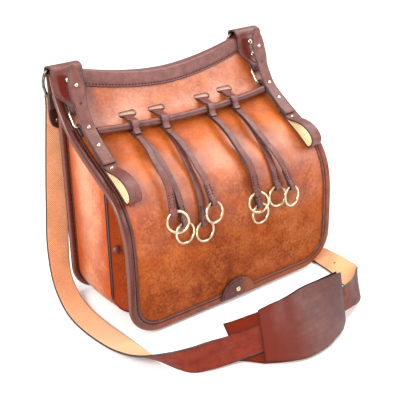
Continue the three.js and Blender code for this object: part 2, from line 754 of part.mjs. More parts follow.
// The tab: up the back, round the ring's bar, over the top, down the front and round the buckle.
// Its middle points and the half width at each of them.
function tabRows(side) {
  const x = side * TAB_X;
  const backY = BACK_Y + LEATHER + GAP + TOP_BINDING_WALL + GAP + TAB_LEATHER / 2;
  const wrap = STRAP_RING.wire + GAP + TAB_LEATHER / 2;
  const wide = TAB_FRONT[0].half;
  const narrow = TAB_FRONT.at(-1).half;
  const middle = side * TAB_MIDDLE;
  const upright = (y, z) => ({ p: new THREE.Vector3(middle, y, z), half: wide });
  const rows = TAB_BACK.map((row) => upright(backY + row.out, row.z));
  for (const degrees of [-30, 0, 30, 60]) {
    const angle = THREE.MathUtils.degToRad(degrees);
    const y = STRAP_RING.topY + wrap * Math.cos(angle);
    rows.push(upright(y, STRAP_RING.topZ + wrap * Math.sin(angle)));
  }
  rows.push(...TAB_OVER.map((row) => upright(row.y, row.z)));
  rows.push(...TAB_FRONT.map((row) => ({ p: flapPoint(x, row.s, row.lift), half: row.half })));
  const bar = { s: BUCKLE.top, lift: BUCKLE.lift };
  const round = BUCKLE.wire + GAP + TAB_LEATHER / 2;
  const turn = arcRound(x, bar, round, 80, -90, 6);
  turn.push(flapPoint(x, BUCKLE.top - TONGUE_TAIL, BUCKLE.lift - round));
  return [...rows, ...turn.map((p) => ({ p, half: narrow }))];
}

function makeTab(word, side) {
  const rows = tabRows(side);
  const mid = rows.map((row) => row.p);
  const halfWidth = (t) => rows[Math.round(t * (rows.length - 1))].half;
  part("tab_" + word, "dark", ribbon(mid, halfWidth, TAB_LEATHER));
  TAB_RIVETS.forEach((row, i) => {
    const seat = seatOn(mid, TAB_LEATHER, flapPoint(side * TAB_X, row.s, row.lift));
    makeRivet("tab_rivet_" + word + "_" + (i + 1), "brass", RIVET, seat);
  });
}

function makeBuckle(word, side) {
  const middle = (BUCKLE.top + BUCKLE.foot) / 2;
  const halfHeight = (BUCKLE.foot - BUCKLE.top) / 2;
  const at = (a, b) => flapPoint(side * TAB_X + a, middle + b, BUCKLE.lift);
  const points = roundedRectangle(BUCKLE.halfWidth, halfHeight, BUCKLE.corner, 2, at);
  part("buckle_" + word, "brass", wireRing(points, BUCKLE.wire, RING_WIRE_SIDES));
}

// The pointed strap lies on the loop's front leg and stands free above it.
function makeCarrierStrap(word, side) {
  const x = side * TAB_X;
  const onLoop = LOOP_LEATHER / 2 + GAP + TAB_LEATHER / 2;
  const lying = CARRIER_SHARED.map((row) => ({ s: row.s, lift: row.lift + onLoop }));
  const rows = [...CARRIER_UPPER, ...lying];
  const mid = smoothed(rows.map((row) => flapPoint(x, row.s, row.lift)), CARRIER_STEP);
  const halfWidth = (t) => {
    const point = Math.sqrt(Math.min(1, t / CARRIER_POINT.share));
    return THREE.MathUtils.lerp(CARRIER_POINT.half, CARRIER_HALF_WIDTH, point);
  };
  part("carrier_strap_" + word, "dark", ribbon(mid, halfWidth, TAB_LEATHER));
  CARRIER_RIVETS.forEach((row, i) => {
    const seat = seatOn(mid, TAB_LEATHER, flapPoint(x, row.s, row.lift));
    makeRivet("carrier_rivet_" + word + "_" + (i + 1), "brass", RIVET, seat);
  });
}

// The teardrop loop: down under the pointed strap, round, and back up to the buckle's foot.
function makeCarrierLoop(word, side) {
  const x = side * TAB_X;
  const round = BUCKLE.wire + GAP + LOOP_LEATHER / 2;
  const bar = { s: BUCKLE.foot, lift: BUCKLE.lift };
  const rows = [...CARRIER_SHARED, ...CARRIER_DROP];
  const mid = smoothed(rows.map((row) => flapPoint(x, row.s, row.lift)), CARRIER_STEP);
  const front = mid.slice(0, Math.ceil(mid.length / 2));
  mid.push(...arcRound(x, bar, round, -90, -270, 6));
  mid.push(flapPoint(x, BUCKLE.foot + CARRIER_END, BUCKLE.lift + round));
  part("carrier_loop_" + word, "dark", ribbon(mid, () => CARRIER_HALF_WIDTH, LOOP_LEATHER));
  const seat = seatOn(front, LOOP_LEATHER, flapPoint(x, LOOP_PIN.s, LOOP_PIN.lift));
  makeRivet("carrier_rivet_" + word + "_" + (CARRIER_RIVETS.length + 1), "brass", LOOP_PIN, seat);
}

// A dome with a flat foot, standing on its Z axis.
function makeRivet(name, finish, size, frame) {
  const { radius, height } = size;
  const points = [
    new THREE.Vector2(0, 0),
    new THREE.Vector2(radius, 0),
    new THREE.Vector2(0.85 * radius, 0.6 * height),
    new THREE.Vector2(0, height),
  ];
  const shape = new THREE.LatheGeometry(points, RIVET.sides);
  shape.rotateX(Math.PI / 2);
  const rivet = part(name, finish, shape);
  frame.decompose(rivet.position, rivet.quaternion, rivet.scale);
}

const THONG_LIFT = LEATHER / 2 + 1.2 * GAP + THONG_LEATHER / 2;
const ROD_LIFT = THONG_LIFT + THONG_LEATHER / 2 + GAP + ROD.radius;

function makeRod() {
  const points = [];
  for (let i = 0; i <= ROD.steps; i++) {
    const x = THREE.MathUtils.lerp(-ROD.halfLength, ROD.halfLength, i / ROD.steps);
    points.push(flapPoint(x, ROD.s, ROD_LIFT));
  }
  const circle = new THREE.Shape();
  circle.absarc(0, 0, ROD.radius, 0, 2 * Math.PI, false);
  const extrudePath = new THREE.CatmullRomCurve3(points);
  const options = { steps: ROD.steps, curveSegments: ROD.sides / 2, extrudePath };
  part("game_rod", "dark", new THREE.ExtrudeGeometry(circle, options));
}

// A band out of the slot, over the rod and down on the thongs.
function makeHanger(name, hanger) {
  const round = ROD.radius + 1.4 * GAP + LOOP_LEATHER / 2;
  const onThongs = THONG_LIFT + 1.5 * THONG_LEATHER + 3 * GAP + LOOP_LEATHER / 2;
  const lean = (s) => THREE.MathUtils.clamp((s - SLOT.s) / (HANGER_FOOT - SLOT.s), 0, 1);
  const across = (s) => THREE.MathUtils.lerp(hanger.slot, hanger.foot, lean(s));
  const place = (row) => flapPoint(across(row.s), row.s, row.lift);
  const overRod = arcRound(0, { s: ROD.s, lift: 0 }, round, 150, -15, 7);
  const start = flapPoint(0, ROD.s, 0);
  const mid = HANGER_UP.map(place);
  for (const point of overRod) {
    const turned = point.sub(start);
    const down = flapPoint(0, ROD.s + 1, 0).sub(start).normalize();
    const x = across(ROD.s + turned.dot(down));
    mid.push(flapPoint(x, ROD.s, ROD_LIFT).add(turned));
  }
  const foot = [
    { s: ROD.s + 11, lift: onThongs + 0.5 },
    { s: HANGER_FOOT - 5, lift: onThongs },
    { s: HANGER_FOOT, lift: onThongs },
  ];
  mid.push(...foot.map(place));
  const halfWidth = (t) => THREE.MathUtils.lerp(HANGER_HALF_WIDTH.top, HANGER_HALF_WIDTH.foot, t);
  part(name, "dark", ribbon(mid, halfWidth, LOOP_LEATHER));
}

// A thong down the flap, round the top of its ring and back up behind itself. The lower thong
// of a pair comes from under the rod, the upper one from below it.
function makeThong(thong) {
  const round = GAME_RING.wire + GAP + THONG_LEATHER / 2;
  const bar = { s: thong.eye, lift: thong.upper ? UPPER_EYE_LIFT : THONG_LIFT + round };
  const start = thong.upper ? ROD.s + ROD.radius + 2 * GAP : SLOT.s + SLOT.halfHeight + 2;
  const layer = thong.upper ? THONG_LIFT + THONG_LEATHER + 2 * GAP : THONG_LIFT;
  const tail = bar.lift - round;
  const tailTop = thong.eye - EYE_TAIL;
  const down = [
    { s: start, lift: layer },
    { s: HANGER_FOOT, lift: layer },
    { s: tailTop - 4, lift: tail + THONG_LEATHER + GAP },
    { s: thong.eye - 7, lift: tail + THONG_LEATHER + 1.5 * GAP },
    { s: thong.eye - 2, lift: bar.lift + round - GAP },
  ];
  const turns = new Set([...down.map((row) => row.s), ...stationsBetween(start, thong.eye - 4)]);
  const front = [...turns].sort((a, b) => a - b);
  const from = HANGERS[thong.hanger].foot;
  const across = (s) => {
    const share = THREE.MathUtils.clamp((s - HANGER_FOOT) / (thong.eye - HANGER_FOOT), 0, 1);
    return THREE.MathUtils.lerp(from, thong.x, share);
  };
  const mid = front.map((s) => flapPoint(across(s), s, between(down, s, "lift")));
  const swing = Math.abs(Math.tan(THREE.MathUtils.degToRad(thong.swing)));
  const slack = GAP / 2 + THONG_HALF_WIDTH ** 2 / (2 * GAME_RING.radius) + THONG_HALF_WIDTH * swing;
  mid.push(...arcRound(thong.x, { s: thong.eye + slack, lift: bar.lift }, round, 75, -90, 6));
  const back = [...stationsBetween(tailTop, thong.eye - 3).reverse(), tailTop];
  mid.push(...back.map((s) => flapPoint(across(s), s, tail)));
  part("thong_" + thong.name, "dark", ribbon(mid, () => THONG_HALF_WIDTH, THONG_LEATHER));
  makeGameRing(thong, bar.lift);
}

// A ring that hangs in the thong's eye, swung a little to one side.
function makeGameRing(thong, lift) {
  const { radius, wire, sides } = GAME_RING;
  const swing = THREE.MathUtils.degToRad(thong.swing);
  const x = thong.x + radius * Math.sin(swing);
  const s = thong.eye + radius * Math.cos(swing);
  const round = new THREE.TorusGeometry(radius, wire, RING_WIRE_SIDES, sides);
  const ring = part("game_ring_" + thong.name, "brass", round);
  const frame = flapFrame(x, s, lift);
  const top = new THREE.Vector3(-radius * Math.sin(swing), radius * Math.cos(swing), 0).applyMatrix4(frame);
  frame.decompose(ring.position, ring.quaternion, ring.scale);
  ring.position.add(flapPoint(thong.x, thong.eye, lift).sub(top));
}

function makeClosure() {
  const shape = new THREE.Shape();
  shape.absarc(0, 0, CLOSURE.radius, 0, Math.PI, false);
  shape.closePath();
  const options = { depth: LOOP_LEATHER, bevelEnabled: false, curveSegments: 8 };
  const patch = new THREE.ExtrudeGeometry(shape, options);
  const at = patch.attributes.position;
  for (let i = 0; i < at.count; i++) {
    const s = FLAP_LENGTH - CLOSURE.foot - at.getY(i);
    const p = flapPoint(at.getX(i), s, CLOSURE.lift + at.getZ(i));
    at.setXYZ(i, p.x, p.y, p.z);
  }
  part("closure_tab", "dark", patch);
  const s = FLAP_LENGTH - CLOSURE.rivetUp;
  makeRivet("closure_rivet", "brass", RIVET, flapFrame(0, s, CLOSURE.lift + LOOP_LEATHER + GAP));
}

// The strap's folded end at a ring: rows of edges from the tail's foot over the ring's bar.
function strapEnd(side) {
  const round = STRAP_RING.wire + GAP + STRAP_LEATHER / 2;
  const bar = { y: STRAP_RING.footY, z: STRAP_RING.footZ };
  const rows = [
    { y: bar.y - round + 0.3, z: STRAP_TAIL_FOOT, half: 9 },
    { y: bar.y - round + 0.3, z: STRAP_TAIL_FOOT + 4, half: 14.5 },
    { y: bar.y - round + 0.3, z: STRAP_TAIL_FOOT + 10, half: STRAP_HALF_WIDTH },
    { y: bar.y - round, z: bar.z - 8, half: STRAP_HALF_WIDTH },
  ];
  for (const degrees of [180, 135, 90, 45, 0]) {
    const angle = THREE.MathUtils.degToRad(degrees);
    const y = bar.y + round * Math.cos(angle);
    rows.push({ y, z: bar.z + round * Math.sin(angle), half: STRAP_HALF_WIDTH });
  }
  rows.push({ y: bar.y + round - 0.4, z: bar.z - 8, half: STRAP_HALF_WIDTH });
  return rows.map((row) => ({
    outer: [side * (STRAP_RING_X + row.half), row.y, row.z],
    inner: [side * (STRAP_RING_X - row.half), row.y, row.z],
  }));
}

const STRAP_ROWS = [
  ...strapEnd(-1),
  ...STRAP_LEFT_SIDE,
  ...STRAP_TWIST,
  ...STRAP_FRONT,
  ...STRAP_BEND,
  ...STRAP_RIGHT_SIDE,
  ...strapEnd(1).reverse(),
];
const PAD_FIRST_ROW = STRAP_ROWS.indexOf(STRAP_FRONT[PAD_BASE_FROM]);
const PAD_LAST_ROW = STRAP_ROWS.indexOf(STRAP_FRONT.at(-1));
const edgeCurve = (edge) =>
  new THREE.CatmullRomCurve3(STRAP_ROWS.map((row) => new THREE.Vector3(...row[edge])));
const strapOuter = edgeCurve("outer");
const strapInner = edgeCurve("inner");
const strapMiddle = (row) => {
  const t = row / (STRAP_ROWS.length - 1);
  return strapOuter.getPoint(t).lerp(strapInner.getPoint(t), 0.5);
};

// A point of the strap's surface: row counts along STRAP_ROWS, reach goes from the middle towards
// the outer edge, out stands off on the grain side.
function strapPoint(row, reach, out) {
  const t = row / (STRAP_ROWS.length - 1);
  const across = strapOuter.getPoint(t).sub(strapInner.getPoint(t)).normalize();
  const along = strapOuter.getTangent(t).add(strapInner.getTangent(t));
  const grain = along.cross(across).normalize();
  return strapMiddle(row).addScaledVector(across, reach).addScaledVector(grain, out);
}

// Places along the strap, in rows of its table: even steps, and those of the pad under the pad.
function strapStations() {
  const stations = [0];
  for (let row = 0; row < STRAP_ROWS.length - 1; row++) {
    const length = strapMiddle(row).distanceTo(strapMiddle(row + 1));
    const underPad = row >= PAD_FIRST_ROW && row < PAD_LAST_ROW;
    const count = underPad ? PAD_STEPS : Math.max(1, Math.round(length / STRAP_STEP));
    for (let i = 1; i <= count; i++) stations.push(row + i / count);
  }
  return stations;
}

function makeStrap() {
  const stations = strapStations();
  const last = stations.length - 1;
  const strap = bentBlock(last, 1, (u, v, w) => {
    const row = stations[Math.round(u * last)];
    const t = row / (STRAP_ROWS.length - 1);
    const half = strapOuter.getPoint(t).distanceTo(strapInner.getPoint(t)) / 2;
    return strapPoint(row, (2 * v - 1) * half, (w - 0.5) * STRAP_LEATHER);
  });
  part("shoulder_strap", "strap", strap);
}

// One layer of the shoulder pad, from a row of STRAP_FRONT to its last row; out is its middle.
function makePad(name, from, out) {
  const first = STRAP_ROWS.indexOf(STRAP_FRONT[from]);
  const rows = PAD_LAST_ROW - first;
  const reaches = PAD_REACH.slice(from - PAD_BASE_FROM).map((row, i) => ({ ...row, s: i }));
  const layer = bentBlock(rows * PAD_STEPS, 3, (u, v, w) => {
    const at = u * rows;
    const below = between(reaches, at, "below");
    const above = between(reaches, at, "above");
    const columns = [-below, -STRAP_HALF_WIDTH, STRAP_HALF_WIDTH, above];
    return strapPoint(first + at, columns[Math.round(v * 3)], out + (w - 0.5) * PAD_LEATHER);
  });
  part(name, "strap", layer);
}

// Body
makeBackPanel();
makeFrontPanel();
makeGusset();
makeBackBinding();
makeFlap();
makeFlapBinding();
makeTopBinding();

// Everything that comes in pairs, on the left and on the right
for (const [word, side] of [["left", -1], ["right", 1]]) {
  makeStrapRing("strap_ring_" + word, side);
  makeTab(word, side);
  makeBuckle(word, side);
  makeCarrierStrap(word, side);
  makeCarrierLoop(word, side);
  const towardsFront = new THREE.Matrix4().makeRotationX(Math.PI / 2);
  const studSeat = towardsFront.clone().setPosition(side * STUD.x, FRONT_Y - LEATHER - GAP, STUD.z);
  makeRivet("front_stud_" + word, "dark", STUD, studSeat);
  const tailFace = STRAP_RING.footY - STRAP_RING.wire - 2 * GAP - STRAP_LEATHER;
  const tailSeat = towardsFront.clone().setPosition(side * STRAP_RIVET_X, tailFace, STRAP_TAIL_FOOT + 11);
  makeRivet("strap_rivet_" + word, "brass", RIVET, tailSeat);
}

// Carriers in the middle of the flap
makeRod();
HANGERS.forEach((hanger, i) => makeHanger("hanger_" + (i + 1), hanger));
THONGS.forEach(makeThong);
makeClosure();

// Strap and pad
const PAD_OUT = STRAP_LEATHER / 2 + GAP + PAD_LEATHER / 2;
makeStrap();
makePad("pad_base", PAD_BASE_FROM, -PAD_OUT);
makePad("pad_cover", PAD_COVER_FROM, PAD_OUT);

export default pouch;
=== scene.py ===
"""Looks of a leather hunting pouch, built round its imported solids.

Tables and sizes are in millimetres, meshes in metres, in the part's own frame: +Z up, the front
of the bag towards -Y, the origin in the middle of its underside.
"""
import math

import bmesh
import bpy
import numpy as np
from mathutils import Matrix


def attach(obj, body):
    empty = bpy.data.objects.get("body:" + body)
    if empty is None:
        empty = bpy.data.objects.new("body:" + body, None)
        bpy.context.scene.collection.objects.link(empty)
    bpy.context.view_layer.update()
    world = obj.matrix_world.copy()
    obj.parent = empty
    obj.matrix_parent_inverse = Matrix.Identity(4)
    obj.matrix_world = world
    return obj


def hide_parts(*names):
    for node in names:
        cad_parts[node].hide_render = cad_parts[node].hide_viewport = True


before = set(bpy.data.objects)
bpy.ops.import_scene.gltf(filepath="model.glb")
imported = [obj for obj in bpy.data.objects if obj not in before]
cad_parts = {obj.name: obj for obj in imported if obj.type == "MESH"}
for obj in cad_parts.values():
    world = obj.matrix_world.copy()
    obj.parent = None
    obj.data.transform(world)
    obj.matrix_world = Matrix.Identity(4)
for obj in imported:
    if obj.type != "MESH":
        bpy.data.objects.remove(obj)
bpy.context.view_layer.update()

MM = 0.001
X = np.array([1.0, 0.0, 0.0])
UP = np.array([0.0, 0.0, 1.0])
FORWARD = np.array([0.0, -1.0, 0.0])
SIDES = (("left", -1), ("right", 1))
SHARP_ANGLE = 50

# Leather thicknesses and the gap between neighbouring pieces
GAP = 0.3
LEATHER = 2.4
TAB_LEATHER = 2.4
LOOP_LEATHER = 2.2
THONG_LEATHER = 1.8
STRAP_LEATHER = 3.0
STRAP_SHOWN = 2.5
PAD_LEATHER = 2.2
TOP_BINDING_WALL = 1.6

# Body of the bag
BACK_Y = 45.0
FRONT_Y = -45.0
BACK_HALF_WIDTH = 153.4
FRONT_HALF_WIDTH = 150.8
GUSSET_HALF_WIDTH = {"back": 145.5, "front": 149.6, "bulge": 3.0}
GUSSET_EDGE = {"back": 43.2, "front": -44.7}
GUSSET_UNDER_FLAP = 8.0
BODY_CORNER = 38.0
BACK_FOOT = 1.9
FRONT_FOOT = 0.4
FRONT_TOP = 184.0
BACK_BINDING_TOP = 250.0
STUD = {"x": 142.0, "z": 98.0, "radius": 5.5, "height": 4.0}

# Dipped top edge of back panel and flap
TOP_EDGE = {"low": 280.6, "rise": 17.6, "span": 119.0, "power": 1.8}
TOP_BINDING = {"front": 19.5, "half_length": 163.0}

# Flap: its outline, where its rows run straight, and its side profile as y, z from the top edge down;
# along the first samples of the profile y falls all the way
FLAP_HALF_WIDTH = 163.5
FLAP_CORNER = 44.5
FLAP_CROWN = {"height": 3.0, "middle": 124.0, "span": 75.0}
FLAP_BINDING_TOP = 22.5
FLAP_STRAIGHT = {"start": 27.0, "above_foot": 62.0}
FLAP_FALLING_SAMPLES = 260
FLAP_PROFILE = [
    (43.3, 300), (39.3, 284), (29, 261), (10, 236), (-17, 216), (-50, 196),
    (-80, 177), (-96, 155), (-103.5, 128), (-105.5, 90), (-105, 45), (-102, 5.5),
]

# Folded binding in section: inset from the edge and lift off the middle of the leather
BINDING_OUTSIDE = [
    (12.5, 1.6), (12.4, 2.3), (11.9, 2.65), (11, 2.75), (9.6, 2.7), (9, 2.35), (8.4, 2.15), (7.8, 2.4),
    (7, 2.8), (5, 3.1), (3, 3.15), (1, 2.9), (-0.5, 2.3), (-1.3, 1.3), (-1.5, 0), (-1.3, -1.3),
    (-0.5, -2.2), (1, -2.65), (6, -2.7), (8.8, -2.7), (9, -2.2),
]
BINDING_INSIDE = [(9, -1.5), (-0.2, -1.45), (-0.2, 1.45), (12.5, 1.45)]
BINDING_WIDTH = {"flap": 12.5, "back": 9.0}
BINDING_SEAM = {"inset": 8.5, "front": 2.35, "back": -2.75}

# Tabs over the top corners: back rows z, out; top rows y, z; front rows s, lift, half width
TAB_MIDDLE = 142.0
TAB_X = 143.0
TAB_BACK = [(256, 0), (275, 0), (292, 0), (298, 1.4)]
TAB_OVER = [(48, 309), (43.2, 308.6), (39.4, 306)]
TAB_FRONT = [
    (1, 5.2, 21.4), (11, 5, 21.4), (20, 4.8, 21.4), (26, 5.2, 20.4),
    (31, 5.9, 17.5), (36, 6.9, 13), (41, 8.4, 10.4), (45, 9.8, 9.6),
]
TAB_PATCH = {"start": (1.0, 5.2), "end": (43.0, 9.2), "inset": 5.5, "corner": 5.0, "height": 0.55}
TAB_RIVETS = [(9.5, 5), (28.5, 5.6)]
TONGUE_TAIL = 8.0
STRAP_RING = {"wire": 2.0, "top": (51.9, 304.5), "foot": (58.5, 270.0)}
STRAP_RING_SIDE = [
    (14, -17.55), (18.5, -17), (21.5, -14), (23.6, -8.5), (24.2, -2),
    (23.2, 4.5), (21.4, 10), (19.6, 14.5), (17.5, 17), (14, 17.55),
]

# Carriers at the sides of the flap: rows of s down the flap and lift off its middle
BUCKLE = {"wire": 1.6, "shown": 1.45, "half": 12.0, "top": 48.5, "foot": 71.5, "lift": 7.3, "corner": 4.4}
CARRIER_HALF_WIDTH = 10.0
CARRIER_LOBE = {"half": 10.6, "waist": 1.9, "tip": 1.5, "roll": 7.5}
LOOP_HALF_WIDTH = 8.7
CARRIER_UPPER = [(-8, 22.8), (6, 22.8), (18, 22.4), (46, 19.8), (66, 16.8)]
CARRIER_SHARED = [(80, 11.9), (94, 10.2), (108, 8.9), (122, 7.8), (136, 7.1)]
CARRIER_DROP = [
    (143, 7.8), (149, 10.6), (157, 15.4), (168, 20), (179, 22), (187, 19.6), (190.6, 12.8), (189.5, 6.6),
    (182, 4.7), (165, 4.3), (140, 4.3), (126, 4.3),
]
CARRIER_RIVETS = [(19, 22.4), (81, 14.5), (108, 11.6)]
CARRIER_RIVET = {"radius": 2.7, "height": 1.9}
CARRIER_HOLE = (46, 19.8)
LOOP_PIN = {"s": 141.0, "lift": 7.6, "radius": 2.2, "height": 1.4}

# Rivets and punched holes in section: share of the radius and share of the height
RIVET = {"radius": 3.6, "height": 2.2}
HOLE_RADIUS = 1.5
STRAP_HOLE = {"radius": HOLE_RADIUS, "height": 0.15}
DOME_SECTION = [(1, 0), (1, 0.18), (0.96, 0.38), (0.82, 0.66), (0.58, 0.88), (0.3, 0.98), (0.04, 1)]
HOLE_SECTION = [(1.25, -0.15), (1.2, 0.12), (0.9, 0.1), (0.7, -0.02), (0.05, -0.03)]

# Stitch in section: share of its length and share of its thickness; slant in degrees
STITCH = [(-0.5, 0.3), (-0.4, 0.8), (-0.15, 1), (0.15, 1), (0.4, 0.8), (0.5, 0.3)]
STITCH_SLANT = 8

# Game rod, slots, hangers (x and s of the slot, x at the foot), thongs and rings
ROD = {
    "radius": 5.5, "shown": 4.8, "s": 88.0, "half_length": 132.4, "sag": 11.0, "low": 0.75, "seam": 130.0,
}
ROD_END = [(0, 0.78), (0.35, 0.9), (0.9, 0.97), (1.8, 0.995), (3.0, 1)]
SLOT = {"half_width": 13.0, "half_height": 4.5, "cut": 8.0}
# Painted shadow on the flap beside straps, thongs and rod: moved right as if cast from the left; its red
# and brown strengths, and the painted shadow under the rings
PAINTED_SHADOW = {"shift": 12.0, "red": 0.6, "brown": 0.4, "ring_shadow": 0.45}
HANGERS = [(-77, 67.6, -85.5), (-34.5, 69.6, -43.5), (38.5, 69, 29.5), (78, 66.3, 71.5)]
HANGER_STEP = {"start": 66.0, "end": 82.0, "left": 6.0}
HANGER_WIDTHS = [
    (0, 14.0), (0.19, 13.6), (0.215, 12.0), (0.29, 7.6), (0.34, 6.6), (0.45, 6.6), (0.85, 5.0), (1, 5.0),
]
HANGER_FOOT = 110.0
HANGER_BELOW_ROD = 14.5
HANGER_UP = [(-10, -3.4), (-4.7, -3.0), (0, -1.6), (4, 2.4), (8, 6.2)]
THONG_HALF_WIDTH = 4.8
THONG_SHOWN = 4.4
THONG_BRIDGE = {"start": 92.0, "end": 178.0, "lift": 6.0}
THONG_SEAM = {"start": 19.0, "end": 4.0, "offset": 2.7}
THONG_TWIST = {"start": 60.0, "end": 8.0}
GAME_RING = {"wire": 1.6, "radius": 12.9}
UPPER_EYE_LIFT = 12.2
EYE_TAIL = 20.0
THONGS = [
    # name, hanger, x of the eye, s of the eye, upper layer, swing in degrees
    ("1a", 0, -99, 212.5, True, 12),
    ("1b", 0, -82.5, 228, False, 0),
    ("2a", 1, -55, 234.5, False, 8),
    ("2b", 1, -41, 215, True, 0),
    ("3a", 2, 28, 221, True, 0),
    ("3b", 2, 34, 237.5, False, 8),
    ("4a", 3, 67, 223, False, -6),
    ("4b", 3, 85, 226.5, True, -4),
]
# Turn of an eye in degrees, and a thong's leader, where it parts from it and how fast
THONG_TURN = {"1a": 24, "3a": 20, "4a": 5, "2b": -5, "4b": -7}
THONG_FOLLOWS = {"1b": ("1a", 0.0, 0.5), "4b": ("4a", 0.3, 1.3)}
CLOSURE = {"radius": 27.0, "foot": 3.0, "lift": 3.0, "rivet_up": 13.0, "seam": 3.2}

# Shoulder strap: outer and inner edge points, from the left ring round the front to the right ring
STRAP_HALF_WIDTH = 16.5
STRAP_RING_X = 146.0
STRAP_RIVET_X = 152.0
STRAP_RIVET_UP = 11.0
STRAP_TAIL_FOOT = 229.0
STRAP_TAIL = [(0, 5.0), (2, 10.0), (6.5, 14.3), (14, STRAP_HALF_WIDTH)]
STRAP_LEFT_SIDE = [
    ((-165.5, 60.5, 240), (-132.5, 60.5, 240)),
    ((-172, 59.5, 185), (-139, 59.5, 185)),
    ((-178, 59, 125), (-145.5, 59, 125)),
    ((-182.5, 57.5, 75), (-150, 58.5, 72)),
    ((-187, 42, 31), (-156, 48, 31)),
    ((-191, 15, 11), (-159.5, 23, 11)),
    ((-194, -13, 3.6), (-161.5, -8, 3.6)),
    ((-195.5, -46, 2.2), (-162.5, -46, 2.4)),
    ((-194.5, -80, 3), (-161.5, -80, 2.2)),
    ((-192.3, -112, 6.5), (-160, -112, 2.2)),
]
STRAP_TWIST = [
    ((-187, -152, 18), (-159, -150, 2.2)),
    ((-168, -184, 31), (-153.2, -181, 2.2)),
    ((-146, -196.5, 35), (-144.5, -199.3, 2.2)),
]
STRAP_FRONT = [
    ((-121, -196.5, 32.4), (-124.5, -209.5, 3)),
    ((-85.5, -192.5, 24), (-92, -220, 6.6)),
    ((-53.5, -210, 34), (-66.5, -232, 13)),
    ((-26, -230.5, 45), (-27, -249.5, 18)),
    ((5.5, -231.5, 48.6), (5.5, -248.5, 20.4)),
    ((32.6, -232.3, 50), (35.4, -243.7, 19)),
    ((54, -233.7, 53), (56, -238.3, 20.6)),
]
STRAP_BEND = [
    ((80, -224, 48.5), (79, -231, 16)),
    ((100, -212, 41.5), (101, -222, 9.6)),
    ((118, -201, 37.5), (119, -210, 5.6)),
    ((136, -187, 33), (129.5, -191, 3)),
    ((157, -170, 20.5), (130.5, -165, 2.4)),
    ((170.5, -152, 13), (140, -145, 2.2)),
    ((178.5, -110.3, 9.8), (147, -105.5, 2.2)),
    ((184.5, -57, 4.5), (152, -55, 2.2)),
]
STRAP_RIGHT_SIDE = [
    ((189, 0, 2.2), (156.5, -3, 2.2)),
    ((191, 24, 6), (158.5, 25, 6)),
    ((188.5, 46, 29), (156, 49, 29)),
    ((183.5, 58, 72), (151, 58.5, 72)),
    ((178, 59, 125), (145.5, 59, 125)),
    ((172, 59.5, 185), (139, 59.5, 185)),
    ((165.5, 60.5, 240), (132.5, 60.5, 240)),
]
# Shoulder pad: reach below and above the strap's middle, from the second row of STRAP_FRONT
PAD_REACH = [(15.9, 34), (29, 33.4), (35.2, 38.2), (37, 39), (33, 39), (33, 39)]
PAD_CORNER = 13.0

# Camera of the photograph, and soft lights: name, place and size in metres, power
CAMERA = {
    "place": (-617.8, -841.9, 567.1), "azimuth": -37.30, "elevation": 23.81, "roll": -1.33,
    "focal_share": 849.6 / 400.0, "sensor": 36.0,
}
LIGHTS = [
    ("key_left", (-1.8, -0.8, 1.35), (1.2, 1.1), 64),
    ("top_right", (1.15, -0.1, 1.75), (1.5, 1.3), 30),
    ("front_right", (1.25, -1.55, 1.05), (1.1, 0.9), 14),
]
LIGHT_TARGET = (0, -0.03, 0.14)
FLOOR_REACH = 9.0
WORLD_STRENGTH = 0.87


# Curves and surfaces

def unit(v):
    return v / np.maximum(np.linalg.norm(v, axis=-1, keepdims=True), 1e-9)


def part_of(value, start, end):
    """How far a value has come on the way from start to end, from 0 to 1."""
    return np.clip((value - start) / (end - start), 0, 1)


def eased(value, start, end):
    share = part_of(value, start, end)
    return share**2 * (3 - 2 * share)


def bell(offset, width):
    return np.exp(-((offset / width) ** 2))


def lengths(points):
    """The running length along a row of points."""
    return np.concatenate([[0], np.cumsum(np.linalg.norm(np.diff(points, axis=0), axis=1))])


def circle(count, a, b):
    """Directions round a full turn, from a through b."""
    turn = np.linspace(0, 2 * math.pi, count, endpoint=False)[:, None]
    return a * np.cos(turn) + b * np.sin(turn)


class Curve:
    """A Catmull-Rom curve through points: centripetal, or uniform where a tension is given."""

    def __init__(self, points, tension=None):
        self.points = np.array(points, float)
        self.tension = tension
        self.t = np.linspace(0, 1, 40 * len(self.points) + 1)
        self.s = lengths(self.at(self.t))
        self.length = self.s[-1]

    def at(self, t):
        p = self.points
        last = len(p) - 1
        grown = np.vstack([2 * p[0] - p[1], p, 2 * p[-1] - p[-2]])
        place = np.clip(np.asarray(t, float) * last, 0, last)
        i = np.minimum(place.astype(int), last - 1)
        w = (place - i)[..., None]
        p0, p1, p2, p3 = (grown[i + k] for k in range(4))
        if self.tension is None:
            pairs = ((p0, p1), (p1, p2), (p2, p3))
            steps = (np.linalg.norm(b - a, axis=-1, keepdims=True) for a, b in pairs)
            d0, d1, d2 = (np.maximum(step, 1e-6) ** 0.5 for step in steps)
            m1 = ((p1 - p0) / d0 - (p2 - p0) / (d0 + d1) + (p2 - p1) / d1) * d1
            m2 = ((p2 - p1) / d1 - (p3 - p1) / (d1 + d2) + (p3 - p2) / d2) * d1
        else:
            m1 = self.tension * (p2 - p0)
            m2 = self.tension * (p3 - p1)
        return p1 + m1 * w + (3 * (p2 - p1) - 2 * m1 - m2) * w**2 + (2 * (p1 - p2) + m1 + m2) * w**3

    def along(self, s):
        return self.at(np.interp(s, self.s, self.t))

    def spaced(self, step):
        return self.along(np.linspace(0, self.length, max(3, round(self.length / step) + 1)))


def smooth(values, t):
    """A curve through single values."""
    return Curve(np.stack([values] * 3, -1)).at(t)[:, 0]


profile = Curve([(0, y, z) for y, z in FLAP_PROFILE], tension=0.5)
FLAP_LENGTH = profile.length


def top_edge(x):
    share = np.minimum(np.abs(x) / TOP_EDGE["span"], 1)
    return TOP_EDGE["low"] + TOP_EDGE["rise"] * share ** TOP_EDGE["power"]


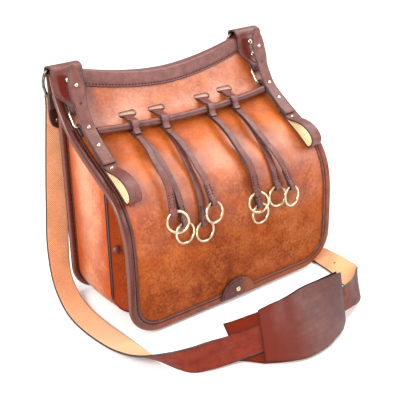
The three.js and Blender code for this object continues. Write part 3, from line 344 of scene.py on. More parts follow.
def flap_axes(s):
    """The point, the direction down and the direction out of the flap's profile at s."""
    on = np.clip(s, 0, FLAP_LENGTH)
    down = unit(profile.along(np.minimum(on + 0.4, FLAP_LENGTH)) - profile.along(np.maximum(on - 0.4, 0)))
    out = np.stack([np.zeros_like(on), down[..., 2], -down[..., 1]], axis=-1)
    return profile.along(on) + down * (s - on)[..., None], down, out


def flap_point(x, s, lift):
    """The point at x, s down the flap, lift in front of the middle of its leather."""
    x, s, lift = np.broadcast_arrays(*(np.asarray(v, float) for v in (x, s, lift)))
    p, _, out = flap_axes(s)
    side = np.maximum(0, 1 - (x / FLAP_HALF_WIDTH) ** 2)
    crown = FLAP_CROWN["height"] * side * bell(s - FLAP_CROWN["middle"], FLAP_CROWN["span"])
    p = p + out * (lift + crown)[..., None]
    p[..., 0] = x
    return p


def flap_frame(x, s, lift):
    """Origin, up and out of a frame on the flap."""
    down = unit(flap_point(x, s + 1, lift) - flap_point(x, s - 1, lift))
    return flap_point(x, s, lift), -down, np.cross(X, -down)


def arc_round(x, s, lift, radius, start, end, steps):
    """Points round a bar across the flap: 0 degrees is down the flap, 90 is out of it."""
    origin, up, out = flap_frame(x, s, lift)
    turn = np.radians(np.linspace(start, end, steps + 1))[:, None]
    return origin - up * radius * np.cos(turn) + out * radius * np.sin(turn)


def rod_s(x):
    """Where the sagging game rod crosses the flap at x."""
    share = np.minimum(np.abs(x) / ROD["half_length"], 1)
    return ROD["s"] + ROD["sag"] * (ROD["low"] - share**1.8)


def flap_top(x):
    s = np.linspace(0, 60, 601)
    return np.interp(-top_edge(x), -profile.along(s)[:, 2], s)


def round_corner(x, half_width, corner):
    """How far a panel's foot reaches past the start of its round corners at x."""
    past = np.maximum(np.abs(x) - (half_width - corner), 0)
    return np.sqrt(np.maximum(corner**2 - past**2, 0))


def round_columns(half_width, corner, middle, turn):
    """Columns across a panel, closer together round its corners."""
    inner = half_width - corner
    right = inner + corner * np.sin(np.linspace(0, math.pi / 2, turn + 1))[1:]
    return np.concatenate([-right[::-1], np.linspace(-inner, inner, middle + 1), right])


def outline(half_width, sides, foot, corner, corner_steps, foot_steps):
    """Rows of x, d, inward x, inward d along a panel's sides and foot; d runs down the panel."""
    turn = np.linspace(0, math.pi / 2, corner_steps + 1)
    ix, inward = np.cos(turn), -np.sin(turn)
    left = [(-half_width, d, 1, 0) for d in sides]
    left += list(zip(-half_width + corner - corner * ix, foot - corner - corner * inward, ix, inward))
    inner = half_width - corner
    flat = [(x, foot, 0, -1) for x in np.linspace(-inner, inner, foot_steps + 1)[1:-1]]
    right = [(-x, d, -a, b) for x, d, a, b in reversed(left)]
    return np.array(left + flat + right, float)


# Materials

class Paint:
    """One procedural material, built node by node."""

    def __init__(self, name):
        self.material = bpy.data.materials.new(name)
        self.material.use_nodes = True
        self.tree = self.material.node_tree
        self.shader = self.tree.nodes["Principled BSDF"]
        coordinates = self.tree.nodes.new("ShaderNodeTexCoord")
        self.place = coordinates.outputs["Object"]
        self.strip = coordinates.outputs["UV"]

    def put(self, socket, value):
        if isinstance(value, bpy.types.NodeSocket):
            self.tree.links.new(value, socket)
        elif isinstance(value, tuple) and socket.type == "RGBA":
            socket.default_value = (*value, 1)
        else:
            socket.default_value = value

    def node(self, kind, output, inputs, **settings):
        """An output of a new node, whose inputs are given by name or number."""
        node = self.tree.nodes.new("ShaderNode" + kind)
        for key, value in settings.items():
            setattr(node, key, value)
        for key, value in inputs.items():
            self.put(node.inputs[key], value)
        return node.outputs[output]

    def stretched(self, source, scale, turn=0):
        rotation = (0, 0, math.radians(turn))
        return self.node("Mapping", "Vector", {"Vector": source, "Scale": scale, "Rotation": rotation})

    def noise(self, scale, detail, roughness, source=None):
        source = self.place if source is None else source
        inputs = {"Vector": source, "Scale": scale, "Detail": detail, "Roughness": roughness}
        return self.node("TexNoise", "Fac", inputs)

    def cells(self, scale):
        return self.node("TexVoronoi", "Distance", {"Vector": self.place, "Scale": scale})

    def bands(self, scale, source):
        inputs = {"Vector": source, "Scale": scale, "Distortion": 2.5, "Detail": 2.0}
        return self.node("TexWave", "Fac", inputs)

    def tone(self, name):
        return self.node("Attribute", "Fac", {}, attribute_name=name)

    def math(self, how, a, b):
        return self.node("Math", 0, {0: a, 1: b}, operation=how)

    def weighed(self, *terms):
        """The sum of values, each times its weight."""
        total, *others = (self.math("MULTIPLY", value, weight) for value, weight in terms)
        for other in others:
            total = self.math("ADD", total, other)
        return total

    def scaled(self, value, low, high, to_low, to_high):
        return self.node("MapRange", 0, dict(enumerate((value, low, high, to_low, to_high))))

    def mix(self, share, a, b):
        return self.node("Mix", 2, {0: share, 6: a, 7: b}, data_type="RGBA")

    def cover(self, colour, over, tone, share=None):
        """The colour, covered by another one where a tone of the mesh, times a share, is strong."""
        strength = self.tone(tone)
        if share is not None:
            strength = self.math("MULTIPLY", strength, share)
        return self.mix(strength, colour, over)

    def ramp(self, value, *stops):
        node = self.tree.nodes.new("ShaderNodeValToRGB")
        elements = node.color_ramp.elements
        while len(elements) < len(stops):
            elements.new(0.5)
        for element, (position, colour) in zip(elements, stops):
            element.position = position
            element.color = (*colour, 1)
        self.put(node.inputs[0], value)
        return node.outputs[0]

    def bump(self, height, strength, distance, below=None):
        inputs = {"Strength": strength, "Distance": distance, "Height": height}
        if below is not None:
            inputs["Normal"] = below
        return self.node("Bump", "Normal", inputs)

    def done(self, **sockets):
        for name, value in sockets.items():
            self.put(self.shader.inputs[name.replace("_", " ").title().replace("Ior", "IOR")], value)
        return self.material


def tan_leather(name, dark, middle, light, red, stain_and_shadow, darker_brown, gloss=1.0):
    """Hand-dyed leather: soft blotches, mottling and specks, redder along edges, with painted shadow beside
    straps, thongs and the rod, and painted highlight and light where their tones are set.
    """
    p = Paint(name)
    blotches = p.noise(9, 3, 0.5)
    mottle = p.noise(46, 6, 0.62)
    specks = p.noise(290, 4, 0.62)
    mixed = p.weighed((blotches, 0.28), (mottle, 0.32), (specks, 0.40))
    colour = p.ramp(mixed, (0.425, dark), (0.5, middle), (0.575, light))
    patches = p.noise(21, 5, 0.6, p.stretched(p.place, (1, 1, 1.5)))
    colour = p.mix(p.scaled(patches, 0.44, 0.68, 0.0, 0.6), colour, red)
    colour = p.cover(colour, (0.66, 0.150, 0.022), "glow", p.scaled(patches, 0.38, 0.62, 1.35, 0.5))
    # Redder along edges, and redder painted shadow beside straps, thongs and the rod
    colour = p.cover(colour, red, "halo")
    colour = p.cover(colour, stain_and_shadow, "stain", p.scaled(p.noise(31, 7, 0.68), 0.47, 0.66, 0.0, 0.62))
    # Browner painted shadow beside straps, carriers and rings, and darker towards the flap's foot
    colour = p.cover(colour, darker_brown, "shadow_and_darkening", p.scaled(mixed, 0.4, 0.6, 1.0, 0.35))
    # Painted highlight and painted light: paler where the tone is set
    colour = p.cover(colour, (0.60, 0.32, 0.20), "pale")
    colour = p.cover(colour, (0.016, 0.009, 0.008), "rim")
    waves = p.bump(blotches, 0.35, 0.004)
    folds = p.bump(mottle, 0.16, 0.0009, waves)
    pores = p.bump(p.cells(900), 0.14, 0.0003, folds)
    roughness = p.scaled(mottle, 0.3, 0.7, 0.5, 0.36)
    polish = p.scaled(p.tone("matt"), 0.0, 1.0, gloss, 0.04)
    polish = p.math("MULTIPLY", polish, p.scaled(p.noise(17, 5, 0.6), 0.36, 0.64, 0.6, 1.4))
    return p.done(base_color=colour, roughness=roughness, normal=pores, specular_ior_level=polish)


def dark_leather(name, dark, middle, light, wear_and_shade):
    """Smooth dark strap leather, redder where it is burnished, blacker along its edges; painted shade on
    the binding's left side, the tabs' back legs and the groove, painted light where it is paler.
    """
    p = Paint(name)
    mottle = p.noise(110, 6, 0.65)
    mixed = p.weighed((mottle, 0.65), (p.noise(700, 3, 0.6), 0.35))
    colour = p.ramp(mixed, (0.36, dark), (0.5, middle), (0.66, light))
    colour = p.cover(colour, wear_and_shade, "wear_and_shade")
    # Painted shade where the dusk tone is set
    colour = p.cover(colour, (0.03, 0.010, 0.009), "dusk")
    # Painted light: paler tan where the tan tone is set
    colour = p.cover(colour, (0.21, 0.050, 0.013), "tan")
    # Painted highlight on the binding's outer fold and painted light on the hangers' ends inside the slots
    colour = p.cover(colour, (0.56, 0.36, 0.29), "painted_pale_light")
    colour = p.cover(colour, (0.018, 0.009, 0.008), "rim")
    pores = p.bump(p.cells(1300), 0.12, 0.0002, p.bump(mottle, 0.12, 0.0006))
    roughness = p.scaled(mottle, 0.3, 0.7, 0.5, 0.38)
    roughness = p.math("SUBTRACT", roughness, p.math("MULTIPLY", p.tone("wear_and_shade"), 0.2))
    polish = p.scaled(p.tone("matt"), 0.0, 1.0, 0.5, 0.1)
    return p.done(base_color=colour, roughness=roughness, normal=pores, specular_ior_level=polish)


def strap_leather(name, dark, middle, light, red, gloss):
    """Grain side of strap and pad: streaks along the strap under a soft polish."""
    p = Paint(name)
    streaks = p.noise(1, 5, 0.6, p.stretched(p.strip, (22, 150, 1)))
    mottle = p.noise(90, 5, 0.65)
    mixed = p.weighed((streaks, 0.45), (mottle, 0.55))
    colour = p.ramp(mixed, (0.36, dark), (0.5, middle), (0.64, light))
    colour = p.cover(colour, red, "wear_and_shade")
    # Darker where the dusk tone is set; on the pad's right end this is painted shade
    colour = p.cover(colour, (0.028, 0.009, 0.008), "dusk")
    colour = p.cover(colour, (0.018, 0.008, 0.007), "rim")
    pores = p.bump(p.cells(1200), 0.12, 0.0002, p.bump(mottle, 0.12, 0.0006))
    roughness = p.scaled(mottle, 0.3, 0.7, 0.52, 0.4)
    polish = p.scaled(p.tone("wear_and_shade"), 0.0, 0.8, gloss, 0.08 * gloss)
    return p.done(base_color=colour, roughness=roughness, normal=pores, specular_ior_level=polish)


def flesh_side(name, dark, middle, light, pale):
    """Raw flesh side: short fibres in a slanting hatch."""
    p = Paint(name)
    hatch = p.bands(150, p.stretched(p.strip, (1, 1, 1), 34))
    fibres = p.noise(1, 4, 0.6, p.stretched(p.strip, (420, 1100, 1), 30))
    mixed = p.weighed((hatch, 0.24), (fibres, 0.5), (p.noise(38, 4, 0.6), 0.26))
    colour = p.ramp(mixed, (0.37, dark), (0.5, middle), (0.62, light))
    # Painted light: paler where the strap's run is lit
    colour = p.cover(colour, pale, "pale")
    # Painted light where the strap lies lit on the floor
    colour = p.cover(colour, (0.92, 0.54, 0.31), "painted_floor_light")
    colour = p.cover(colour, (0.05, 0.018, 0.013), "shade")
    nap = p.bump(mixed, 0.4, 0.0006)
    return p.done(base_color=colour, roughness=0.88, normal=nap, specular_ior_level=0.2)


def edge_paint(name, colour, light):
    p = Paint(name)
    wear_and_shade = p.noise(240, 5, 0.7)
    tint = p.ramp(wear_and_shade, (0.45, colour), (0.72, light))
    roughness = p.scaled(wear_and_shade, 0.3, 0.7, 0.34, 0.52)
    return p.done(base_color=tint, roughness=roughness, normal=p.bump(wear_and_shade, 0.2, 0.0003))


def polished_brass(name, dull, bright):
    p = Paint(name)
    scratches = p.noise(1, 3, 0.7, p.stretched(p.place, (2600, 500, 500), 20))
    colour = p.ramp(p.noise(160, 5, 0.6), (0.35, dull), (0.6, bright))
    roughness = p.scaled(scratches, 0.3, 0.7, 0.2, 0.32)
    fine = p.bump(scratches, 0.05, 0.0001)
    return p.done(base_color=colour, metallic=1.0, roughness=roughness, normal=fine)


def waxed_thread(name):
    p = Paint(name)
    twist = p.noise(2400, 2, 0.5)
    colour = p.ramp(twist, (0.4, (0.006, 0.003, 0.003)), (0.65, (0.022, 0.010, 0.009)))
    strands = p.bump(twist, 0.4, 0.0002)
    return p.done(base_color=colour, roughness=0.8, normal=strands, specular_ior_level=0.1)


FLAP_PAINT = tan_leather(
    "flap_leather", (0.24, 0.046, 0.010), (0.38, 0.086, 0.018), (0.45, 0.132, 0.036),
    (0.39, 0.070, 0.006), (0.20, 0.034, 0.008), (0.076, 0.017, 0.010),
)
SIDE_PAINT = tan_leather(
    "side_leather", (0.28, 0.052, 0.010), (0.44, 0.122, 0.038), (0.57, 0.215, 0.092),
    (0.36, 0.052, 0.006), (0.30, 0.040, 0.008), (0.2, 0.06, 0.02),
)
INSIDE_PAINT = tan_leather(
    "inner_leather", (0.31, 0.056, 0.012), (0.47, 0.090, 0.018), (0.54, 0.135, 0.032),
    (0.42, 0.052, 0.011), (0.30, 0.034, 0.008), (0.1, 0.03, 0.01), 0.2,
)
DARK_PAINT = dark_leather(
    "dark_leather", (0.078, 0.018, 0.013), (0.132, 0.032, 0.023), (0.188, 0.053, 0.040),
    (0.115, 0.013, 0.009),
)
BINDING_PAINT = dark_leather(
    "binding_leather", (0.112, 0.025, 0.012), (0.175, 0.041, 0.020), (0.240, 0.066, 0.035),
    (0.070, 0.013, 0.009),
)
STRAP_PAINT = strap_leather(
    "strap_leather", (0.098, 0.012, 0.005), (0.142, 0.018, 0.008), (0.172, 0.027, 0.013),
    (0.12, 0.014, 0.006), 0.1,
)
PAD_PAINT = strap_leather(
    "pad_leather", (0.070, 0.018, 0.013), (0.098, 0.026, 0.020), (0.125, 0.038, 0.030),
    (0.120, 0.018, 0.010), 0.5,
)
FLESH_PAINT = flesh_side(
    "flesh_side", (0.42, 0.148, 0.062), (0.67, 0.285, 0.135), (0.79, 0.39, 0.215), (0.62, 0.39, 0.19),
)
CREAM_PAINT = flesh_side(
    "cream_flesh", (0.54, 0.35, 0.17), (0.74, 0.53, 0.29), (0.84, 0.66, 0.43), (0.6, 0.42, 0.25),
)
LINING_PAINT = flesh_side(
    "inner_flesh", (0.22, 0.11, 0.055), (0.30, 0.17, 0.09), (0.38, 0.23, 0.13), (0.36, 0.23, 0.12),
)
BLACK_EDGE = edge_paint("black_edge", (0.010, 0.006, 0.006), (0.04, 0.02, 0.017))
BROWN_EDGE = edge_paint("brown_edge", (0.028, 0.011, 0.009), (0.08, 0.032, 0.026))
RAW_EDGE = edge_paint("raw_edge", (0.15, 0.055, 0.024), (0.32, 0.16, 0.09))
SLOT_EDGE = edge_paint("slot_edge", (0.30, 0.15, 0.09), (0.52, 0.36, 0.26))
BRASS = polished_brass("pale_brass", (0.48, 0.41, 0.25), (0.70, 0.62, 0.44))
# Darker brass, painted shade, for the strap rings
SHADED_BRASS = polished_brass("shaded_brass", (0.09, 0.08, 0.05), (0.21, 0.19, 0.13))
RIVET_METAL = polished_brass("rivet_metal", (0.34, 0.28, 0.22), (0.68, 0.62, 0.54))
BRONZE = polished_brass("dark_bronze", (0.05, 0.022, 0.016), (0.15, 0.075, 0.055))
THREAD = waxed_thread("dark_thread")

# Paints of a leather's outer side, inner side and edge
DARK = (DARK_PAINT, DARK_PAINT, BROWN_EDGE)
BINDING = (BINDING_PAINT, BINDING_PAINT, BROWN_EDGE)
STRAP = (STRAP_PAINT, FLESH_PAINT, BLACK_EDGE)


# Meshes

def add(name, data):
    thing = bpy.data.objects.new(name, data)
    bpy.context.scene.collection.objects.link(thing)
    return thing


def build(name, points, faces, picks, paints, tones=None, uv=None, sharp=SHARP_ANGLE):
    """A piece from points in millimetres, with a material picked for each face."""
    points = np.asarray(points, float)
    mesh = bpy.data.meshes.new(name)
    mesh.from_pydata((points.reshape(-1, 3) * MM).tolist(), [], [tuple(face) for face in faces])
    for paint in paints:
        mesh.materials.append(paint)
    mesh.polygons.foreach_set("material_index", np.asarray(picks, np.int32))
    for key, values in (tones or {}).items():
        layer = mesh.attributes.new(key, "FLOAT", "POINT")
        spread = np.broadcast_to(values, points.shape[:-1]).astype(np.float32)
        layer.data.foreach_set("value", spread.ravel())
    if uv is not None:
        corner = np.zeros(len(mesh.loops), np.int32)
        mesh.loops.foreach_get("vertex_index", corner)
        layer = mesh.uv_layers.new(name="strip")
        layer.data.foreach_set("uv", (np.asarray(uv, np.float32).reshape(-1, 2)[corner] * MM).ravel())
    work = bmesh.new()
    work.from_mesh(mesh)
    bmesh.ops.recalc_face_normals(work, faces=work.faces)
    work.to_mesh(mesh)
    work.free()
    mesh.polygons.foreach_set("use_smooth", np.ones(len(mesh.polygons), bool))
    mesh.set_sharp_from_angle(angle=math.radians(sharp))
    return add(name, mesh)


def settle(piece):
    """The piece rides on the one body, and stands for the node it is named after."""
    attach(piece, "root")
    if piece.name.endswith("_piece"):
        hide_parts(piece.name.removesuffix("_piece"))
    return piece


def tube(rows, sides, closed=False, first=0):
    """Faces round a tube of rows of points, then its two end caps unless it is closed."""
    faces = []
    for i in range(rows if closed else rows - 1):
        here, there = first + i * sides, first + (i + 1) % rows * sides
        for a in range(sides):
            b = (a + 1) % sides
            faces.append((here + a, here + b, there + b, there + a))
    if not closed:
        faces += [tuple(range(end, end + sides)) for end in (first, first + (rows - 1) * sides)]
    return faces


def loft(name, loops, zones, paints, closed=False, **extra):
    """Skins closed loops of points; zones gives the material of each side of the loop."""
    rows, sides = loops.shape[:2]
    picks = zones * rows if closed else zones * (rows - 1) + [len(paints) - 1] * 2
    return build(name, loops, tube(rows, sides, closed), picks, paints, **extra)


def strip(
    name, mid, half, thickness, paints, columns=6, across=None, relief=None, tones=None, rim=1.0,
):
    """A strip of leather with round edges along the points of mid; its grain side faces out."""
    mid = np.asarray(mid, float)
    along = unit(np.gradient(mid, axis=0))
    if across is None:
        across = unit(X - along * along[:, :1])
    grain = unit(np.cross(along, across))
    half = np.broadcast_to(np.asarray(half, float), len(mid))
    bend = np.minimum(0.5 * thickness, 0.45 * half)
    flat = half - bend
    rises = np.radians([60, 30, 0, -30, -60])
    shares = np.linspace(-1, 1, columns + 1)
    a = [flat * f for f in shares] + [flat + bend * math.cos(r) for r in rises]
    a += [flat * f for f in shares[::-1]] + [-flat - bend * math.cos(r) for r in rises[::-1]]
    a = np.stack(a, axis=1)
    thick = np.full(columns + 1, thickness / 2)
    round_off = thickness / 2 * np.sin(rises)
    b = np.tile(np.concatenate([thick, round_off, -thick, round_off[::-1]]), (len(mid), 1))
    s, width = lengths(mid)[:, None], half[:, None]
    if relief is not None:
        b[:, : columns + 1] += relief(s, a[:, : columns + 1], width)
    loops = mid[:, None] + across[:, None] * a[..., None] + grain[:, None] * b[..., None]
    turns = len(rises) + 1
    zones = [0] * columns + [2] * turns + [1] * columns + [2] * turns
    shown = {"rim": part_of(width - np.abs(a), rim, 0) ** 2 * 0.85}
    for key, value in (tones or {}).items():
        shown[key] = value(s, a, width)
    uv = np.stack([np.broadcast_to(s, a.shape), a], axis=-1)
    settle(loft(name, loops, zones, paints, tones=shown, uv=uv))


def sheet(name, front, back, paints, tones=None, soften=0.0):
    """A sheet between two grids of points; soften rounds its rim by that share of its thickness."""
    rows, columns = front.shape[:2]
    if soften:
        through = back - front
        rim = np.zeros((rows, columns, 1))
        rim[[0, -1]] = rim[:, [0, -1]] = soften
        front, back = front + through * rim, back - through * rim
    size = rows * columns
    index = np.arange(size).reshape(rows, columns)
    quads = np.stack([index[:-1, :-1], index[:-1, 1:], index[1:, 1:], index[1:, :-1]], -1).reshape(-1, 4)
    border = np.concatenate([index[0, :-1], index[:-1, -1], index[-1, :0:-1], index[:0:-1, 0]])
    after = np.roll(border, -1)
    rims = np.stack([border, after, after + size, border + size], -1)
    faces = np.concatenate([quads, quads[:, ::-1] + size, rims])
    picks = [0] * len(quads) + [1] * len(quads) + [2] * len(rims)
    middle = (front + back) / 2
    down, over = lengths(middle[:, columns // 2]), lengths(middle[rows // 2])
    uv = np.stack(np.meshgrid(down, over, indexing="ij"), -1)
    return build(name, np.stack([front, back]), faces.tolist(), picks, paints, tones, np.stack([uv, uv]))


def wire_ring(name, points, wire, paint):
    """A closed ring of round wire through points that lie in one plane."""
    sides = 14
    quarter = len(points) // 4
    facing = unit(np.cross(points[quarter] - points[0], points[2 * quarter] - points[0]))
    along = unit(np.roll(points, -1, axis=0) - np.roll(points, 1, axis=0))
    section = circle(sides, unit(np.cross(along, facing))[:, None], facing)
    loops = points[:, None] + wire * section
    settle(loft(name, loops, [0] * sides, (paint,), closed=True, sharp=80))


def round_box(half_width, half_height, corner, turns, place):
    """Points round a rectangle with round corners."""
    points = []
    for k, (a, b) in enumerate([(1, 1), (-1, 1), (-1, -1), (1, -1)]):
        for angle in np.radians(90 * k + np.linspace(0, 90, turns + 1)):
            flat_a = a * (half_width - corner) + corner * math.cos(angle)
            flat_b = b * (half_height - corner) + corner * math.sin(angle)
            points.append(place(flat_a, flat_b))
    return np.array(points)


def turned(name, seat, radius, height, paint, section, sides, sharp):
    """A round piece on a seat, which is its foot and the directions up and out of it."""
    foot, up, out = seat
    flat = circle(sides, np.cross(up, out), up)
    rings = np.array([foot + flat * radius * share + out * height * rise for share, rise in section])
    settle(loft(name, rings, [0] * sides, (paint,), sharp=sharp))


def dome(name, seat, size, paint):
    """A dome rivet or stud with a flat foot."""
    turned(name, seat, size["radius"], size["height"], paint, DOME_SECTION, 22, 60)


def seat_on(mid, thickness, near):
    """Foot, up and out of a rivet on the outer face of a strip, at its point nearest to near."""
    i = int(np.argmin(np.linalg.norm(mid - near, axis=1)))
    i = min(max(i, 1), len(mid) - 2)
    up = -unit(mid[i + 1] - mid[i - 1])
    out = unit(np.cross(X, up))
    return mid[i] + out * (thickness / 2 + 0.05), up, out


def stitches(name, path, out, pitch=3.1, length=2.3, thick=0.42):
    """A row of thread stitches along a path, each a short rounded bar lying on the leather."""
    out = np.broadcast_to(np.asarray(out, float), path.shape)
    s = lengths(path)
    count = max(2, int(s[-1] / pitch))
    where = (np.arange(count) + 0.5) * s[-1] / count
    pick = lambda values, at: np.stack([np.interp(at, s, values[:, k]) for k in range(3)], -1)
    centre = pick(path, where)
    ahead = unit(pick(path, where + 0.5) - pick(path, where - 0.5))
    away = unit(pick(out, where))
    beside = unit(np.cross(ahead, away))
    lean = math.radians(STITCH_SLANT)
    along = ahead * math.cos(lean) + beside * math.sin(lean)
    side = beside * math.cos(lean) - ahead * math.sin(lean)
    sides = 6
    flat = circle(sides, side[:, None], away[:, None])
    bars = [
        centre[:, None] + along[:, None] * reach * length + flat * thick * share for reach, share in STITCH
    ]
    faces = [f for m in range(count) for f in tube(len(STITCH), sides, first=m * len(STITCH) * sides)]
    piece = build(name, np.stack(bars, axis=1), faces, [0] * len(faces), (THREAD,), sharp=80)
    settle(piece)


# Body

def make_panel(node, half_width, foot, top, y, outwards, paint):
    columns = round_columns(half_width, BODY_CORNER, 24, 9)
    low = foot + BODY_CORNER - round_corner(columns, half_width, BODY_CORNER)
    z = low + (top(columns) - low) * np.linspace(0, 1, 40)[:, None]
    x = np.broadcast_to(columns, z.shape)
    front, back = (np.stack([x, np.full_like(z, y + outwards * out), z], -1) for out in (LEATHER, 0))
    to_edge = np.minimum(half_width - np.abs(x), z - low)
    tones = {"halo": 0.8 * bell(to_edge, 14), "rim": to_edge < 0.6, "matt": 0.75}
    settle(sheet(node + "_piece", front, back, (paint, LINING_PAINT, BLACK_EDGE), tones))


def make_gusset():
    depths = np.concatenate([np.linspace(0, 0.93, 20), [0.95, 0.956, 1]])
    falling = profile.at(profile.t)[:FLAP_FALLING_SAMPLES]
    grids = {0: [], LEATHER: []}
    for depth in depths:
        between = lambda size: size["back"] + (size["front"] - size["back"]) * depth
        y = between(GUSSET_EDGE)
        half = between(GUSSET_HALF_WIDTH) + GUSSET_HALF_WIDTH["bulge"] * math.sin(math.pi * depth)
        under = np.interp(-y, -falling[:, 1], falling[:, 2])
        top = min(under, top_edge(half)) - GUSSET_UNDER_FLAP
        rows = outline(half, np.linspace(-top, -BODY_CORNER - 4, 40), 0, BODY_CORNER, 14, 24)
        for inset, grid in grids.items():
            x, d = (rows[:, :2] + rows[:, 2:] * inset).T
            grid.append(np.stack([x, np.full_like(x, y), -d], -1))
    outside, inside = (np.stack(grid, axis=1) for grid in grids.values())
    height = outside[..., 2]
    edge = np.minimum(depths, 1 - depths)
    matt = bell(edge, 0.3)
    # Painted highlight down the middle of the side, strongest high up and near the foot
    lit_height = np.maximum(0.55 * part_of(height, 30, 160), 0.5 * part_of(height, 70, 10))
    tones = {
        "halo": 0.9 * bell(edge, 0.21),
        "rim": depths > 0.953,
        "pale": bell(depths - 0.42, 0.26) * lit_height,
        "matt": 0.3 + 0.7 * matt,
        "stain": 0.6 + 0.7 * matt,
    }
    paints = (SIDE_PAINT, LINING_PAINT, BLACK_EDGE)
    settle(sheet("gusset_piece", outside, inside, paints, tones))


def near_straps(x, s):
    """How close each place of the flap is to a strap, thong or rod on it, from 0 to 1."""
    far, loop_foot = 99, 190
    gap = np.where(np.abs(x) < ROD["half_length"], np.abs(s - rod_s(x) - 5) - ROD["radius"], far)
    for _, hanger, eye_x, eye_s, _, _ in THONGS:
        foot = HANGERS[hanger][2]
        beside = np.abs(x - (foot + (eye_x - foot) * part_of(s, HANGER_FOOT, eye_s))) - THONG_HALF_WIDTH
        gap = np.minimum(gap, np.where((s > ROD["s"]) & (s < eye_s + 14), beside, far))
    beside = np.abs(np.abs(x) - TAB_X) - CARRIER_HALF_WIDTH
    round_foot = np.hypot(np.maximum(beside, 0), s - loop_foot)
    gap = np.minimum(gap, np.where(s < loop_foot, beside, round_foot))
    return bell(np.maximum(gap, 0), 9)


def make_flap():
    columns = round_columns(FLAP_HALF_WIDTH, FLAP_CORNER, 84, 12)
    top = flap_top(columns)
    foot = FLAP_LENGTH - FLAP_CORNER + round_corner(columns, FLAP_HALF_WIDTH, FLAP_CORNER)
    first, last = FLAP_STRAIGHT["start"], FLAP_LENGTH - FLAP_STRAIGHT["above_foot"]
    upper = top + (first - top) * np.linspace(0, 1, 9)[:, None]
    straight = np.linspace(first, last, 96)[1:-1, None]
    middle = np.broadcast_to(straight, (len(straight), len(columns)))
    lower = last + (foot - last) * np.linspace(0, 1, 24)[:, None]
    s = np.concatenate([upper, middle, lower])
    x = np.broadcast_to(columns, s.shape)
    to_edge = np.minimum(FLAP_HALF_WIDTH - np.abs(x), foot - s)
    # Painted shadow beside the straps, thongs and rod, moved right as if cast from the left
    stain_and_shadow = near_straps(x - PAINTED_SHADOW["shift"], s)
    # Painted shade under the rod
    rod_shadow = 0.55 * bell(s - rod_s(x) - 10, 17)
    by_edge = 0.5 * bell(to_edge - 12, 9)
    # Painted shadow of the left carrier on the flap to its right
    carrier_shadow = 0.66 * bell(x + TAB_X - 25, 10) * part_of(s, 150, 110)
    # Darker towards the flap's foot, more so on the right
    by_foot = part_of(s, 200, 310) * np.interp(x, [-160, -40], [0.5, 0.66])
    darkenings = [by_foot, carrier_shadow, PAINTED_SHADOW["brown"] * stain_and_shadow]
    # Painted shadow under and to the right of each ring
    for _, _, eye_x, eye_s, _, _ in THONGS:
        darkenings.append(PAINTED_SHADOW["ring_shadow"] * bell(x - eye_x - 5, 17) * bell(s - eye_s - 10, 20))
    tones = {
        # halo: redder painted shadow beside straps and under the rod, and redder dye along the edges
        "halo": np.maximum.reduce([PAINTED_SHADOW["red"] * stain_and_shadow, by_edge, rod_shadow]),
        "shadow_and_darkening": np.maximum.reduce(darkenings),
        "matt": np.interp(s, [0, 70, 88, 128, 155, 190, 225, 270], [0, 0, 0.95, 0.9, 0.3, 0.25, 0.6, 1]),
        "glow": np.interp(s, [82, 98, 165, 205], [0, 0.55, 0.55, 0]),
        "stain": np.interp(s, [30, 85, 110, 200, 300], [0.25, 0.4, 0.8, 0.75, 0.4]),
    }
    front, back = (flap_point(x, s, side * LEATHER / 2) for side in (1, -1))
    piece = sheet("flap_piece", front, back, (FLAP_PAINT, LINING_PAINT, RAW_EDGE), tones)
    for slot_x, slot_s, _ in HANGERS:
        cut_slot(piece, slot_x, slot_s)
    piece.data.set_sharp_from_angle(angle=math.radians(SHARP_ANGLE))
    settle(piece)


def cut_slot(piece, x, s):
    origin, up, out = flap_frame(x, s, 0)
    radius = SLOT["half_height"]
    straight = SLOT["half_width"] - radius
    turn = np.linspace(-math.pi / 2, math.pi / 2, 13)
    right = np.stack([straight + radius * np.cos(turn), radius * np.sin(turn)], -1)
    oval = np.concatenate([right, -right])
    flat = origin + X * oval[:, :1] + up * oval[:, 1:]
    loops = np.stack([flat + out * reach for reach in (-SLOT["cut"], SLOT["cut"])])
    cutter = loft("slot_cutter", loops, [0] * len(oval), (SLOT_EDGE,))
    cut = piece.modifiers.new("slot", "BOOLEAN")
    cut.operation = "DIFFERENCE"
    cut.object = cutter
    cut.solver = "EXACT"
    cut.material_mode = "TRANSFER"
    bpy.context.view_layer.objects.active = piece
    bpy.ops.object.modifier_apply(modifier=cut.name)
    bpy.data.objects.remove(cutter)


